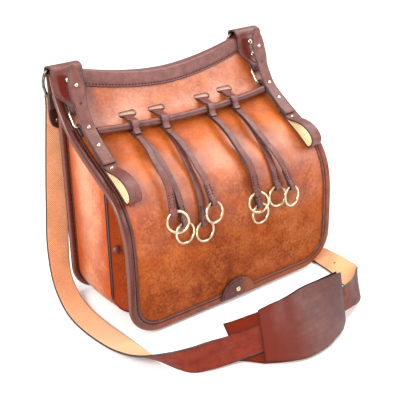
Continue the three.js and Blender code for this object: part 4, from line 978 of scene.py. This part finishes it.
def make_binding(node, rows, place, width, out):
    """A strip folded over a panel's edge, with a seam on its front and its back."""
    narrowed = width / BINDING_WIDTH["flap"]
    section = np.array(BINDING_OUTSIDE + BINDING_INSIDE, float)
    section[:, 0] = np.where(section[:, 0] > 0, section[:, 0] * narrowed, section[:, 0])

    def at(inset, lift):
        x, d = (rows[:, :2] + rows[:, 2:] * inset).T
        return place(x, d, np.full(len(rows), lift))

    loops = np.stack([at(inset, lift) for inset, lift in section], axis=1)
    zones = [2, 2] + [0] * (len(BINDING_OUTSIDE) - 4) + [2, 2] + [1] * (len(BINDING_INSIDE) - 1) + [2]
    inset, lift = section.T
    rim, painted_pale_light = np.zeros((2, len(section)))
    rim[:3] = 0.7
    # Painted shade in the groove of the fold
    rim[5:8] = (0.5, 0.95, 0.5)
    # Painted highlight along the outer fold
    painted_pale_light[12:14] = 0.1
    wear_and_shade = np.where((inset < 2) & (np.abs(lift) < 2.8), 0.35, 0.0)
    matt = np.where(inset < 0.5, 0.95, 0.7)
    # Painted shade: the binding is darker and redder on its left side
    left = (rows[:, :1] < -100) * np.clip(rows[:, 2:3], 0, 1)
    # Painted light: the binding's foot paler towards the right
    tan = 0.75 * part_of(rows[:, :1], 22, 34) * np.clip(-rows[:, 3:], 0, 1)
    tones = {
        "rim": rim * (1 - 0.8 * tan),
        "wear_and_shade": np.maximum(wear_and_shade, 0.85 * left),
        "matt": matt * (1 - 0.6 * left),
        "painted_pale_light": painted_pale_light,
        "tan": tan,
    }
    settle(loft(node + "_piece", loops, zones, BINDING, tones=tones))
    for word, side in (("front", 1), ("back", -1)):
        path = at(BINDING_SEAM["inset"] * narrowed, BINDING_SEAM[word])
        stitches(f"{node}_seam_{word}", path, out * side)


def make_flap_binding():
    sides = np.linspace(FLAP_BINDING_TOP, FLAP_LENGTH - FLAP_CORNER - 3, 76)
    rows = outline(FLAP_HALF_WIDTH, sides, FLAP_LENGTH, FLAP_CORNER, 16, 40)
    make_binding("flap_binding", rows, flap_point, BINDING_WIDTH["flap"], flap_axes(rows[:, 1])[2])


def make_back_binding():
    sides = np.linspace(-BACK_BINDING_TOP, -BODY_CORNER - BACK_FOOT - 3, 50)
    rows = outline(BACK_HALF_WIDTH, sides, -BACK_FOOT, BODY_CORNER, 14, 24)
    place = lambda x, d, lift: np.stack([x, BACK_Y + LEATHER / 2 - lift, -d], -1)
    make_binding("back_binding", rows, place, BINDING_WIDTH["back"], FORWARD)


def make_top_binding():
    x = np.linspace(-TOP_BINDING["half_length"], TOP_BINDING["half_length"], 97)
    edge, rim = flap_top(x), top_edge(x) + 2 * GAP
    near = LEATHER / 2 + 1.5 * GAP
    back = BACK_Y + LEATHER + GAP
    wall = TOP_BINDING_WALL
    far = near + wall

    def front(share, lift):
        return flap_point(x, edge + share * TOP_BINDING["front"], lift)

    def behind(down, out):
        return np.stack([x, np.full_like(x, back + out), top_edge(x) - down], -1)

    rows = [front(1, near + 0.3), front(0.995, far - 0.35), front(0.97, far)]
    rows += [front(0.89, far), front(0.86, far - 0.35), front(0.83, far)]
    rows += [front(share, far + 0.5 * math.sin(math.pi * share)) for share in (0.7, 0.5, 0.3, 0.15)]
    corner = front(0, far)
    corner[:, 2] = rim + wall
    for share in np.linspace(0, 1, 7):
        over = corner + (behind(0, wall) - corner) * share
        over[:, 2] = rim + wall - 1.3 * (2 * share - 1) ** 4
        rows.append(over)
    rows += [behind(down, wall) for down in (2, 8, 14, 20)]
    rows += [behind(21.6, wall - 0.3), behind(22, 0.4), behind(22, 0), behind(1, 0)]
    lip = front(0, near)
    lip[:, 2] = rim
    rows += [np.stack([x, np.full_like(x, back), rim], -1), lip]
    rows += [front(share, near) for share in (0.15, 0.6, 1)]
    count = len(rows)
    zones = [2, 2] + [0] * (count - 12) + [2, 2] + [1] * 7 + [2]
    rims, wear_and_shade = np.zeros((2, count))
    rims[:2] = (0.6, 0.3)
    wear_and_shade[:4] = 0.7
    wear_and_shade[10:17] = 0.55
    tones = {"rim": rims, "wear_and_shade": wear_and_shade}
    settle(loft("top_binding_piece", np.stack(rows, axis=1), zones, DARK, tones=tones))
    _, _, out = flap_axes(edge + 16)
    stitches("top_seam_front", front(0.86, far), out, pitch=4.6, length=3.0, thick=0.52)
    stitches("top_seam_back", behind(18.5, wall + 0.05), -FORWARD)


# Tabs, rings and carriers

def tab_rows(side):
    """Middle points of a tab and the half width at each: up the back, over the top, down the front."""
    x, middle = side * TAB_X, side * TAB_MIDDLE
    back_y = BACK_Y + LEATHER + GAP + TOP_BINDING_WALL + GAP + TAB_LEATHER / 2
    wrap = STRAP_RING["wire"] + GAP + TAB_LEATHER / 2
    wide, narrow = TAB_FRONT[0][2], TAB_FRONT[-1][2]
    rows = [(middle, back_y + out, z) for z, out in TAB_BACK]
    ring_y, ring_z = STRAP_RING["top"]
    for angle in np.radians([-30, 0, 30, 60]):
        rows.append((middle, ring_y + wrap * math.cos(angle), ring_z + wrap * math.sin(angle)))
    rows += [(middle, y, z) for y, z in TAB_OVER]
    half = [wide] * len(rows) + [row[2] for row in TAB_FRONT]
    rows += [tuple(flap_point(x, s, lift)) for s, lift, _ in TAB_FRONT]
    bar = BUCKLE["wire"] + GAP + TAB_LEATHER / 2
    rows += [tuple(p) for p in arc_round(x, BUCKLE["top"], BUCKLE["lift"], bar, 80, -90, 6)]
    rows.append(tuple(flap_point(x, BUCKLE["top"] - TONGUE_TAIL, BUCKLE["lift"] - bar)))
    half += [narrow] * (len(rows) - len(half))
    return np.array(rows), np.array(half)


def make_tab(word, side):
    rows, half = tab_rows(side)
    x = side * TAB_X
    t = np.linspace(0, 1, 5 * (len(rows) - 1) + 1)
    mid = Curve(rows).at(t)
    s = lengths(mid)
    ends = (flap_point(x, *TAB_PATCH[end]) for end in ("start", "end"))
    first, last = (s[int(np.argmin(np.linalg.norm(mid - end, axis=1)))] for end in ends)

    def patch(at, a, width):
        """The raised patch with round corners on the front of the tab."""
        corner = TAB_PATCH["corner"]
        inner = width - np.minimum(TAB_PATCH["inset"], 0.45 * width) - np.abs(a)
        lengthwise = np.minimum(at - first, last - at)
        past = np.hypot(np.maximum(corner - inner, 0), np.maximum(corner - lengthwise, 0))
        return np.clip(np.where(past > 0, corner - past, 1) / 0.8, 0, 1)

    raised = lambda at, a, width: TAB_PATCH["height"] * patch(at, a, width)
    tones = {
        "wear_and_shade": lambda at, a, width: 0.85 * patch(at, a, width),
        # Painted shade on the tab's back leg
        "dusk": lambda at, a, width: 0.8 * part_of(at, 40, 32),
    }
    name = f"tab_{word}_piece"
    strip(name, mid, smooth(half, t), TAB_LEATHER, DARK, 28, relief=raised, tones=tones, rim=1.4)
    for i, (row_s, lift) in enumerate(TAB_RIVETS, 1):
        seat = seat_on(mid, TAB_LEATHER + 2 * TAB_PATCH["height"], flap_point(x, row_s, lift))
        dome(f"tab_rivet_{word}_{i}_piece", seat, RIVET, BRASS)


def make_strap_ring(word, side):
    top, foot = (np.array([side * TAB_MIDDLE, *STRAP_RING[end]]) for end in ("top", "foot"))
    right = Curve([(a, b, 0) for a, b in STRAP_RING_SIDE]).spaced(1.5)
    flat = np.concatenate([right, -right])
    points = (top + foot) / 2 + X * flat[:, :1] + unit(top - foot) * flat[:, 1:2]
    wire_ring(f"strap_ring_{word}_piece", points, STRAP_RING["wire"], SHADED_BRASS)


def make_buckle(word, side):
    middle, half_height = (BUCKLE["top"] + BUCKLE["foot"]) / 2, (BUCKLE["foot"] - BUCKLE["top"]) / 2
    place = lambda a, b: flap_point(side * TAB_X + a, middle + b, BUCKLE["lift"])
    points = round_box(BUCKLE["half"], half_height, BUCKLE["corner"], 6, place)
    wire_ring(f"buckle_{word}_piece", points, BUCKLE["shown"], BRASS)


def make_carrier(word, side):
    """A carrier strap with its rivets and hole, and the loop under it, which hangs in the buckle."""
    x = side * TAB_X
    on_loop = LOOP_LEATHER / 2 + GAP + TAB_LEATHER / 2
    rows = CARRIER_UPPER + [(s, lift + on_loop) for s, lift in CARRIER_SHARED]
    mid = Curve([flap_point(x, s, lift) for s, lift in rows]).spaced(2)
    t = np.linspace(0, 1, len(mid))
    full = CARRIER_LOBE["half"] - CARRIER_LOBE["waist"] * eased(t, 0.3, 0.37)
    half = CARRIER_LOBE["tip"] + (full - CARRIER_LOBE["tip"]) * np.minimum(1, t / 0.17) ** 0.55
    rolled = lambda s, a, width: 0.9 * np.sin(math.pi * part_of(s, s[-1] - CARRIER_LOBE["roll"], s[-1]))
    strip(f"carrier_strap_{word}_piece", mid, half, TAB_LEATHER, DARK, 8, relief=rolled, rim=1.2)
    for i, (s, lift) in enumerate(CARRIER_RIVETS, 1):
        seat = seat_on(mid, TAB_LEATHER, flap_point(x, s, lift))
        dome(f"carrier_rivet_{word}_{i}_piece", seat, CARRIER_RIVET, RIVET_METAL)
    # Painted shade: a black dish stands in for the punched hole
    seat = seat_on(mid, TAB_LEATHER, flap_point(x, *CARRIER_HOLE))
    turned(f"carrier_holes_{word}", seat, HOLE_RADIUS, 1, BLACK_EDGE, HOLE_SECTION, 16, 40)

    loop = Curve([flap_point(x, s, lift) for s, lift in CARRIER_SHARED + CARRIER_DROP]).spaced(2)
    bar = BUCKLE["wire"] + GAP + LOOP_LEATHER / 2
    tail = flap_point(x, np.linspace(BUCKLE["foot"] + 12, BUCKLE["foot"] + 2, 5), BUCKLE["lift"] - bar)
    wrap = arc_round(x, BUCKLE["foot"], BUCKLE["lift"], bar, -90, -270, 12)
    whole = np.concatenate([tail, wrap, loop])
    paints = (DARK_PAINT, CREAM_PAINT, BROWN_EDGE)
    tones = {"shade": lambda s, a, width: 1 - part_of(s, 82, 90) * part_of(s, 214, 204)}
    strip(f"carrier_loop_{word}_piece", whole, LOOP_HALF_WIDTH, LOOP_LEATHER, paints, 8, tones=tones)
    seat = seat_on(loop[: len(loop) // 2], LOOP_LEATHER, flap_point(x, LOOP_PIN["s"], LOOP_PIN["lift"]))
    dome(f"carrier_rivet_{word}_{len(CARRIER_RIVETS) + 1}_piece", seat, LOOP_PIN, BRASS)


# Game rod, hangers, thongs and rings

THONG_LIFT = LEATHER / 2 + 1.2 * GAP + THONG_LEATHER / 2
ROD_LIFT = THONG_LIFT + THONG_LEATHER / 2 + GAP + ROD["radius"]


def make_rod():
    """A rolled rod: a round section with the line of its seam let in along it."""
    ends, taper = np.array(ROD_END, float).T
    straight = np.linspace(-125, 125, 60)
    x = np.concatenate([-ROD["half_length"] + ends, straight, ROD["half_length"] - ends[::-1]])
    shares = np.concatenate([taper, np.ones(len(straight)), taper[::-1]])
    sides = 40
    turn = np.linspace(0, 2 * math.pi, sides, endpoint=False)
    seam = np.angle(np.exp(1j * (turn - math.radians(ROD["seam"]))))
    radius = ROD["shown"] * (1 - 0.16 * bell(seam, 0.2))[:, None]
    loops = []
    for column, share in zip(x, shares):
        origin, up, out = flap_frame(column, rod_s(column), ROD_LIFT)
        loops.append(origin + share * radius * circle(sides, up, out))
    tones = {"rim": 0.85 * bell(seam, 0.15)}
    paints = (DARK_PAINT, RAW_EDGE)
    piece = loft("game_rod_piece", np.array(loops), [0] * sides, paints, tones=tones, sharp=60)
    settle(piece)


def make_hanger(number, slot_x, slot_s, foot_x):
    rod = rod_s(foot_x)
    end = rod + HANGER_BELOW_ROD
    turns = [HANGER_STEP["start"], HANGER_STEP["end"], HANGER_FOOT]
    across = lambda s: np.interp(s, turns, [slot_x, slot_x - HANGER_STEP["left"], foot_x])
    place = lambda s, lift: flap_point(across(s), s, lift)
    bend = ROD["radius"] + 1.4 * GAP + LOOP_LEATHER / 2
    on_thongs = THONG_LIFT + 1.5 * THONG_LEATHER + 3 * GAP + LOOP_LEATHER / 2
    mid = [place(slot_s + down, lift) for down, lift in HANGER_UP]
    start, up, _ = flap_frame(0, rod, 0)
    for point in arc_round(0, rod, 0, bend, 150, 25, 6):
        over = point - start
        mid.append(flap_point(across(rod - over @ up), rod, ROD_LIFT) + over)
    mid += [place(s, on_thongs + 2.6) for s in (rod + 11, end - 2, end)]
    line = Curve(mid).spaced(1)
    half = np.interp(np.linspace(0, 1, len(line)), *np.array(HANGER_WIDTHS, float).T)
    # Painted light on the hanger's end inside the slot
    tones = {"painted_pale_light": lambda s, a, width: 0.8 * part_of(s, 13.5, 10.5)}
    strip(f"hanger_{number}_piece", line, half, LOOP_LEATHER, DARK, tones=tones)


def make_thong(name, hanger, x, eye, upper, swing):
    """A thong from the rod to its eye, with its seams, and the ring in the eye."""
    radius = GAME_RING["radius"]
    bend = GAME_RING["wire"] + GAP + THONG_LEATHER / 2
    lift = UPPER_EYE_LIFT if upper else THONG_LIFT + bend
    foot = HANGERS[hanger][2]
    start = rod_s(foot) + (ROD["radius"] + 2 * GAP if upper else -1.0)
    layer = THONG_LIFT + THONG_LEATHER + 2 * GAP if upper else THONG_LIFT
    tail, tail_top = lift - bend, eye - EYE_TAIL
    down = np.array([
        (start, layer),
        (HANGER_FOOT, layer),
        (tail_top - 4, tail + THONG_LEATHER + GAP),
        (eye - 7, tail + THONG_LEATHER + 1.5 * GAP),
        (eye - 2, lift + bend - GAP),
    ])
    leader, parting, power = THONG_FOLLOWS.get(name, (name, 0.0, 1.0))
    guide = next(row[2] for row in THONGS if row[0] == leader)
    pivot, pivot_up, pivot_out = flap_frame(x, eye, lift)
    yaw = math.radians(THONG_TURN.get(name, 0))
    ease = lambda s: eased(s, eye - THONG_TWIST["start"], eye - THONG_TWIST["end"])
    height = lambda s: np.interp(s, down[:, 0], down[:, 1])

    def across(s):
        share = part_of(s, HANGER_FOOT, eye)
        return foot + (guide - foot) * share + (x - guide) * part_of(share, parting, 1) ** power

    def twisted(points, share):
        """Points turned about the line down through the eye, by a share of the thong's turn."""
        angle = (yaw * np.asarray(share, float))[..., None]
        d = points - pivot
        wide, deep = (d @ X)[..., None], (d @ pivot_out)[..., None]
        across_x = X * np.cos(angle) + pivot_out * np.sin(angle)
        across_out = pivot_out * np.cos(angle) - X * np.sin(angle)
        return pivot + pivot_up * (d @ pivot_up)[..., None] + across_x * wide + across_out * deep

    s = np.linspace(start, eye - 2, 70)
    free = part_of(s, THONG_BRIDGE["start"], THONG_BRIDGE["end"])
    bridge = THONG_BRIDGE["lift"] * np.sin(math.pi * free) ** 1.2
    front = flap_point(across(s), s, height(s) + bridge)
    lean = abs(math.tan(math.radians(swing)))
    slack = GAP / 2 + THONG_HALF_WIDTH**2 / (2 * radius) + THONG_HALF_WIDTH * lean
    round_eye = arc_round(x, eye + slack, lift, bend, 75, -90, 12)
    back = np.linspace(eye - 3, tail_top, 12)
    share = np.concatenate([ease(s), np.ones(len(round_eye)), ease(back)])
    mid = twisted(np.concatenate([front, round_eye, flap_point(across(back), back, tail)]), share)
    along = unit(np.gradient(mid, axis=0))
    side = X * np.cos(yaw * share)[:, None] + pivot_out * np.sin(yaw * share)[:, None]
    side = unit(side - along * np.sum(along * side, axis=1, keepdims=True))
    strip(f"thong_{name}_piece", mid, THONG_SHOWN, THONG_LEATHER, DARK, across=side, rim=0.9)
    s = np.linspace(eye - THONG_SEAM["start"], eye - THONG_SEAM["end"], 12)
    for word, way in SIDES:
        path = flap_point(across(s) + way * THONG_SEAM["offset"], s, height(s) + THONG_LEATHER / 2 + 0.1)
        seam = f"thong_seam_{name}_{word}"
        stitches(seam, twisted(path, ease(s)), flap_axes(s)[2], pitch=3.3, length=1.7, thick=0.6)

    swung = radius * math.sin(math.radians(swing)), radius * math.cos(math.radians(swing))
    _, up, _ = flap_frame(x + swung[0], eye + swung[1], lift)
    centre = flap_point(x, eye, lift) + swung[0] * X - swung[1] * up
    points = centre + radius * circle(56, X, up)
    wire_ring(f"game_ring_{name}_piece", twisted(points, np.ones(len(points))), GAME_RING["wire"], BRASS)


def make_closure():
    radius, top = CLOSURE["radius"], CLOSURE["lift"] + LOOP_LEATHER
    x = radius * np.sin(np.linspace(-1, 1, 41) * math.pi / 2 * 0.985)
    foot = FLAP_LENGTH - CLOSURE["foot"]
    rows = np.array([0, 0.025, 0.07, 0.15, 0.3, 0.5, 0.7, 0.85, 0.95, 0.985, 1])[:, None]
    s = foot - np.sqrt(radius**2 - x**2) * rows
    x = np.broadcast_to(x, s.shape)
    front, back = (flap_point(x, s, lift) for lift in (top, CLOSURE["lift"]))
    inset = np.minimum(radius - np.hypot(x, foot - s), foot - s)
    rim = np.maximum(0.8 * part_of(inset, 1.6, 0), 0.45)
    # Painted highlight: the closure tab is paler tan on its right half and darker to the left
    tan = 0.9 * part_of(x, 2, 14)
    tones = {"rim": rim * (1 - tan), "tan": tan, "matt": 0.6}
    settle(sheet("closure_tab_piece", front, back, DARK, tones, 0.3))
    dome("closure_rivet_piece", flap_frame(0, FLAP_LENGTH - CLOSURE["rivet_up"], top), RIVET, BRASS)
    turn = np.radians(np.linspace(75, 172, 40))
    reach = radius - CLOSURE["seam"]
    arc_s = foot - reach * np.sin(turn)
    stitches("closure_seam", flap_point(reach * np.cos(turn), arc_s, top + 0.05), flap_axes(arc_s)[2])


# Shoulder strap and pad

def strap_end(side):
    """Edge points of a strap end: its tail, then round the ring's foot."""
    bend = STRAP_RING["wire"] + GAP + STRAP_LEATHER / 2
    y, z = STRAP_RING["foot"]
    rows = [(y - bend + 0.3, STRAP_TAIL_FOOT + up, half) for up, half in STRAP_TAIL]
    rows.append((y - bend, z - 8, STRAP_HALF_WIDTH))
    for angle in np.radians([180, 135, 90, 45, 0]):
        rows.append((y + bend * math.cos(angle), z + bend * math.sin(angle), STRAP_HALF_WIDTH))
    rows.append((y + bend - 0.4, z - 8, STRAP_HALF_WIDTH))
    edge = lambda row, way: (side * (STRAP_RING_X + way * row[2]), row[0], row[1])
    return [(edge(row, 1), edge(row, -1)) for row in rows]


STRAP_ROWS = [
    *strap_end(-1), *STRAP_LEFT_SIDE, *STRAP_TWIST, *STRAP_FRONT, *STRAP_BEND, *STRAP_RIGHT_SIDE,
    *reversed(strap_end(1)),
]
LAST_ROW = len(STRAP_ROWS) - 1
strap_outer, strap_inner = (Curve([row[k] for row in STRAP_ROWS]) for k in range(2))


def strap_frame(row):
    """Middle, direction across, grain side and half width of the strap at rows of its table."""
    t = np.asarray(row, float) / LAST_ROW
    outer, inner = strap_outer.at(t), strap_inner.at(t)
    step = 0.02 / LAST_ROW
    ahead, behind = np.minimum(t + step, 1), np.maximum(t - step, 0)
    along = sum(unit(edge.at(ahead) - edge.at(behind)) for edge in (strap_outer, strap_inner))
    across = unit(outer - inner)
    half = np.linalg.norm(outer - inner, axis=-1) / 2
    return (outer + inner) / 2, across, unit(np.cross(along, across)), half


def make_strap():
    row = np.linspace(0, LAST_ROW, 7 * LAST_ROW + 1)[:, None]
    middle, across, _, half = strap_frame(row[:, 0])
    bend_row = STRAP_ROWS.index(STRAP_BEND[3])
    floor_row = STRAP_ROWS.index(STRAP_LEFT_SIDE[5])
    tail = np.minimum(row, LAST_ROW - row)
    dusk = np.maximum(0.9 * part_of(tail, 6.5, 4.5), 0.62 * part_of(row, bend_row - 4, bend_row - 2))
    # Painted light on the stretch of strap lying on the floor
    lying = part_of(row, floor_row - 1, floor_row + 3) * part_of(row, floor_row + 9, floor_row + 7)

    # Painted light: the run beside the bag is paler, up to the slanted edge of the flap's shadow
    def pale(s, a, width):
        edge = bend_row + 2.5 + 0.02 * (a + STRAP_HALF_WIDTH)
        return part_of(row, bend_row, bend_row + 1.2) * part_of(row, edge, edge - 0.4)

    tones = {"pale": pale, "dusk": lambda s, a, width: dusk, "painted_floor_light": lambda s, a, width: 0.75 * lying}
    name, slot = "shoulder_strap_piece", "strap_leather"
    strip(name, middle, half, STRAP_SHOWN, STRAP, 10, across=across, tones=tones)
    # Painted shade: a black disc stands in for the hole through the strap
    middle, across, grain, _ = (value[0] for value in strap_frame([bend_row + 2.6]))
    seat = (middle - grain * STRAP_SHOWN / 2, across, -grain)
    dome("strap_hole", seat, STRAP_HOLE, BLACK_EDGE)
    y = STRAP_RING["foot"][0] - STRAP_RING["wire"] - GAP - STRAP_LEATHER
    for word, side in SIDES:
        foot = np.array([side * STRAP_RIVET_X, y, STRAP_TAIL_FOOT + STRAP_RIVET_UP])
        dome(f"strap_rivet_{word}_piece", (foot, UP, FORWARD), RIVET, BRONZE)


def make_pad(node, skipped, out, paint):
    """One layer of the pad, along the strap from a row of STRAP_FRONT to its last row."""
    first = STRAP_ROWS.index(STRAP_FRONT[1 + skipped])
    rows = len(PAD_REACH) - 1 - skipped
    share = np.concatenate([[0, 0.002, 0.006], np.linspace(0.02, 0.98, 20 * rows), [0.994, 0.998, 1]])
    middle, across, grain, _ = strap_frame(first + share * rows)
    below, above = (smooth(reach, share)[:, None] for reach in np.array(PAD_REACH[skipped:], float).T)
    s = lengths(middle)[:, None]
    left = np.clip(s[-1] - s, 0, PAD_CORNER)
    below = below - PAD_CORNER + np.sqrt(np.maximum(PAD_CORNER**2 - (PAD_CORNER - left) ** 2, 0))
    columns = np.concatenate([[0, 0.006, 0.02], np.linspace(0.05, 0.95, 28), [0.98, 0.994, 1]])
    a = -below + (below + above) * columns
    flat = middle[:, None] + across[:, None] * a[..., None]
    front, back = (flat + grain[:, None] * (out + side * PAD_LEATHER) for side in (0.5, -0.5))
    inset = np.minimum(np.minimum(a + below, above - a), np.minimum(s, s[-1] - s))
    tones = {
        "rim": 0.95 * part_of(inset, 1.7, 0),
        "wear_and_shade": part_of(s / s[-1], 0.6, 0),
        # Painted shade where the pad curves away at its right end
        "dusk": 0.55 * part_of(s / s[-1], 0.7, 1),
    }
    piece = sheet(node + "_piece", front, back, (paint, FLESH_PAINT, BLACK_EDGE), tones, 0.3)
    return settle(piece)


# Build everything
make_panel("back_panel", BACK_HALF_WIDTH, BACK_FOOT, top_edge, BACK_Y, 1, SIDE_PAINT)
flat_top = lambda x: np.full_like(x, FRONT_TOP)
make_panel("front_panel", FRONT_HALF_WIDTH, FRONT_FOOT, flat_top, FRONT_Y, -1, INSIDE_PAINT)
make_gusset()
make_back_binding()
make_flap()
make_flap_binding()
make_top_binding()
for word, side in SIDES:
    make_strap_ring(word, side)
    make_tab(word, side)
    make_buckle(word, side)
    make_carrier(word, side)
    seat = (np.array([side * STUD["x"], FRONT_Y - LEATHER, STUD["z"]]), UP, FORWARD)
    dome(f"front_stud_{word}_piece", seat, STUD, DARK_PAINT)
make_rod()
for number, hanger in enumerate(HANGERS, 1):
    make_hanger(number, *hanger)
for thong in THONGS:
    make_thong(*thong)
make_closure()
make_strap()
PAD_OUT = STRAP_LEATHER / 2 + GAP + PAD_LEATHER / 2
make_pad("pad_base", 0, -PAD_OUT, STRAP_PAINT)
cover = make_pad("pad_cover", 1, PAD_OUT, PAD_PAINT)


# Floor, light and camera

def make_floor():
    p = Paint("pale_floor")
    colour = p.ramp(p.noise(1.5, 2, 0.5), (0.3, (0.93, 0.93, 0.92)), (0.7, (0.95, 0.95, 0.95)))
    mesh = bpy.data.meshes.new("floor")
    corners = [(a * FLOOR_REACH, b * FLOOR_REACH, 0) for a, b in ((-1, -1), (1, -1), (1, 1), (-1, 1))]
    mesh.from_pydata(corners, [], [(0, 1, 2, 3)])
    mesh.materials.append(p.done(base_color=colour, roughness=0.9, specular_ior_level=0.1))
    floor = add("floor", mesh)


def soft_light(name, place, size, power):
    data = bpy.data.lights.new(name, "AREA")
    data.shape = "RECTANGLE"
    data.size, data.size_y = size
    data.energy = power
    back = unit(np.array(place, float) - np.array(LIGHT_TARGET, float))
    right = unit(np.cross(UP, back))
    facing = Matrix(np.stack([right, np.cross(back, right), back], -1).tolist())
    add(name, data).matrix_world = Matrix.Translation(place) @ facing.to_4x4()


def make_camera():
    data = bpy.data.cameras.new("photo_camera")
    data.sensor_width = CAMERA["sensor"]
    data.sensor_fit = "HORIZONTAL"
    data.lens = CAMERA["sensor"] * CAMERA["focal_share"]
    camera = add("photo_camera", data)
    turn = Matrix.Rotation(math.radians(CAMERA["azimuth"]), 4, "Z")
    turn = turn @ Matrix.Rotation(math.radians(90 - CAMERA["elevation"]), 4, "X")
    turn = turn @ Matrix.Rotation(math.radians(CAMERA["roll"]), 4, "Z")
    camera.matrix_world = Matrix.Translation([v * MM for v in CAMERA["place"]]) @ turn
    bpy.context.scene.camera = camera


def make_world():
    world = bpy.data.worlds.new("studio")
    world.use_nodes = True
    background = world.node_tree.nodes["Background"]
    background.inputs["Color"].default_value = (1.0, 1.0, 1.0, 1.0)
    background.inputs["Strength"].default_value = WORLD_STRENGTH
    bpy.context.scene.world = world
    bpy.context.scene.view_settings.view_transform = "Standard"


make_floor()
for light in LIGHTS:
    soft_light(*light)
make_world()
make_camera()
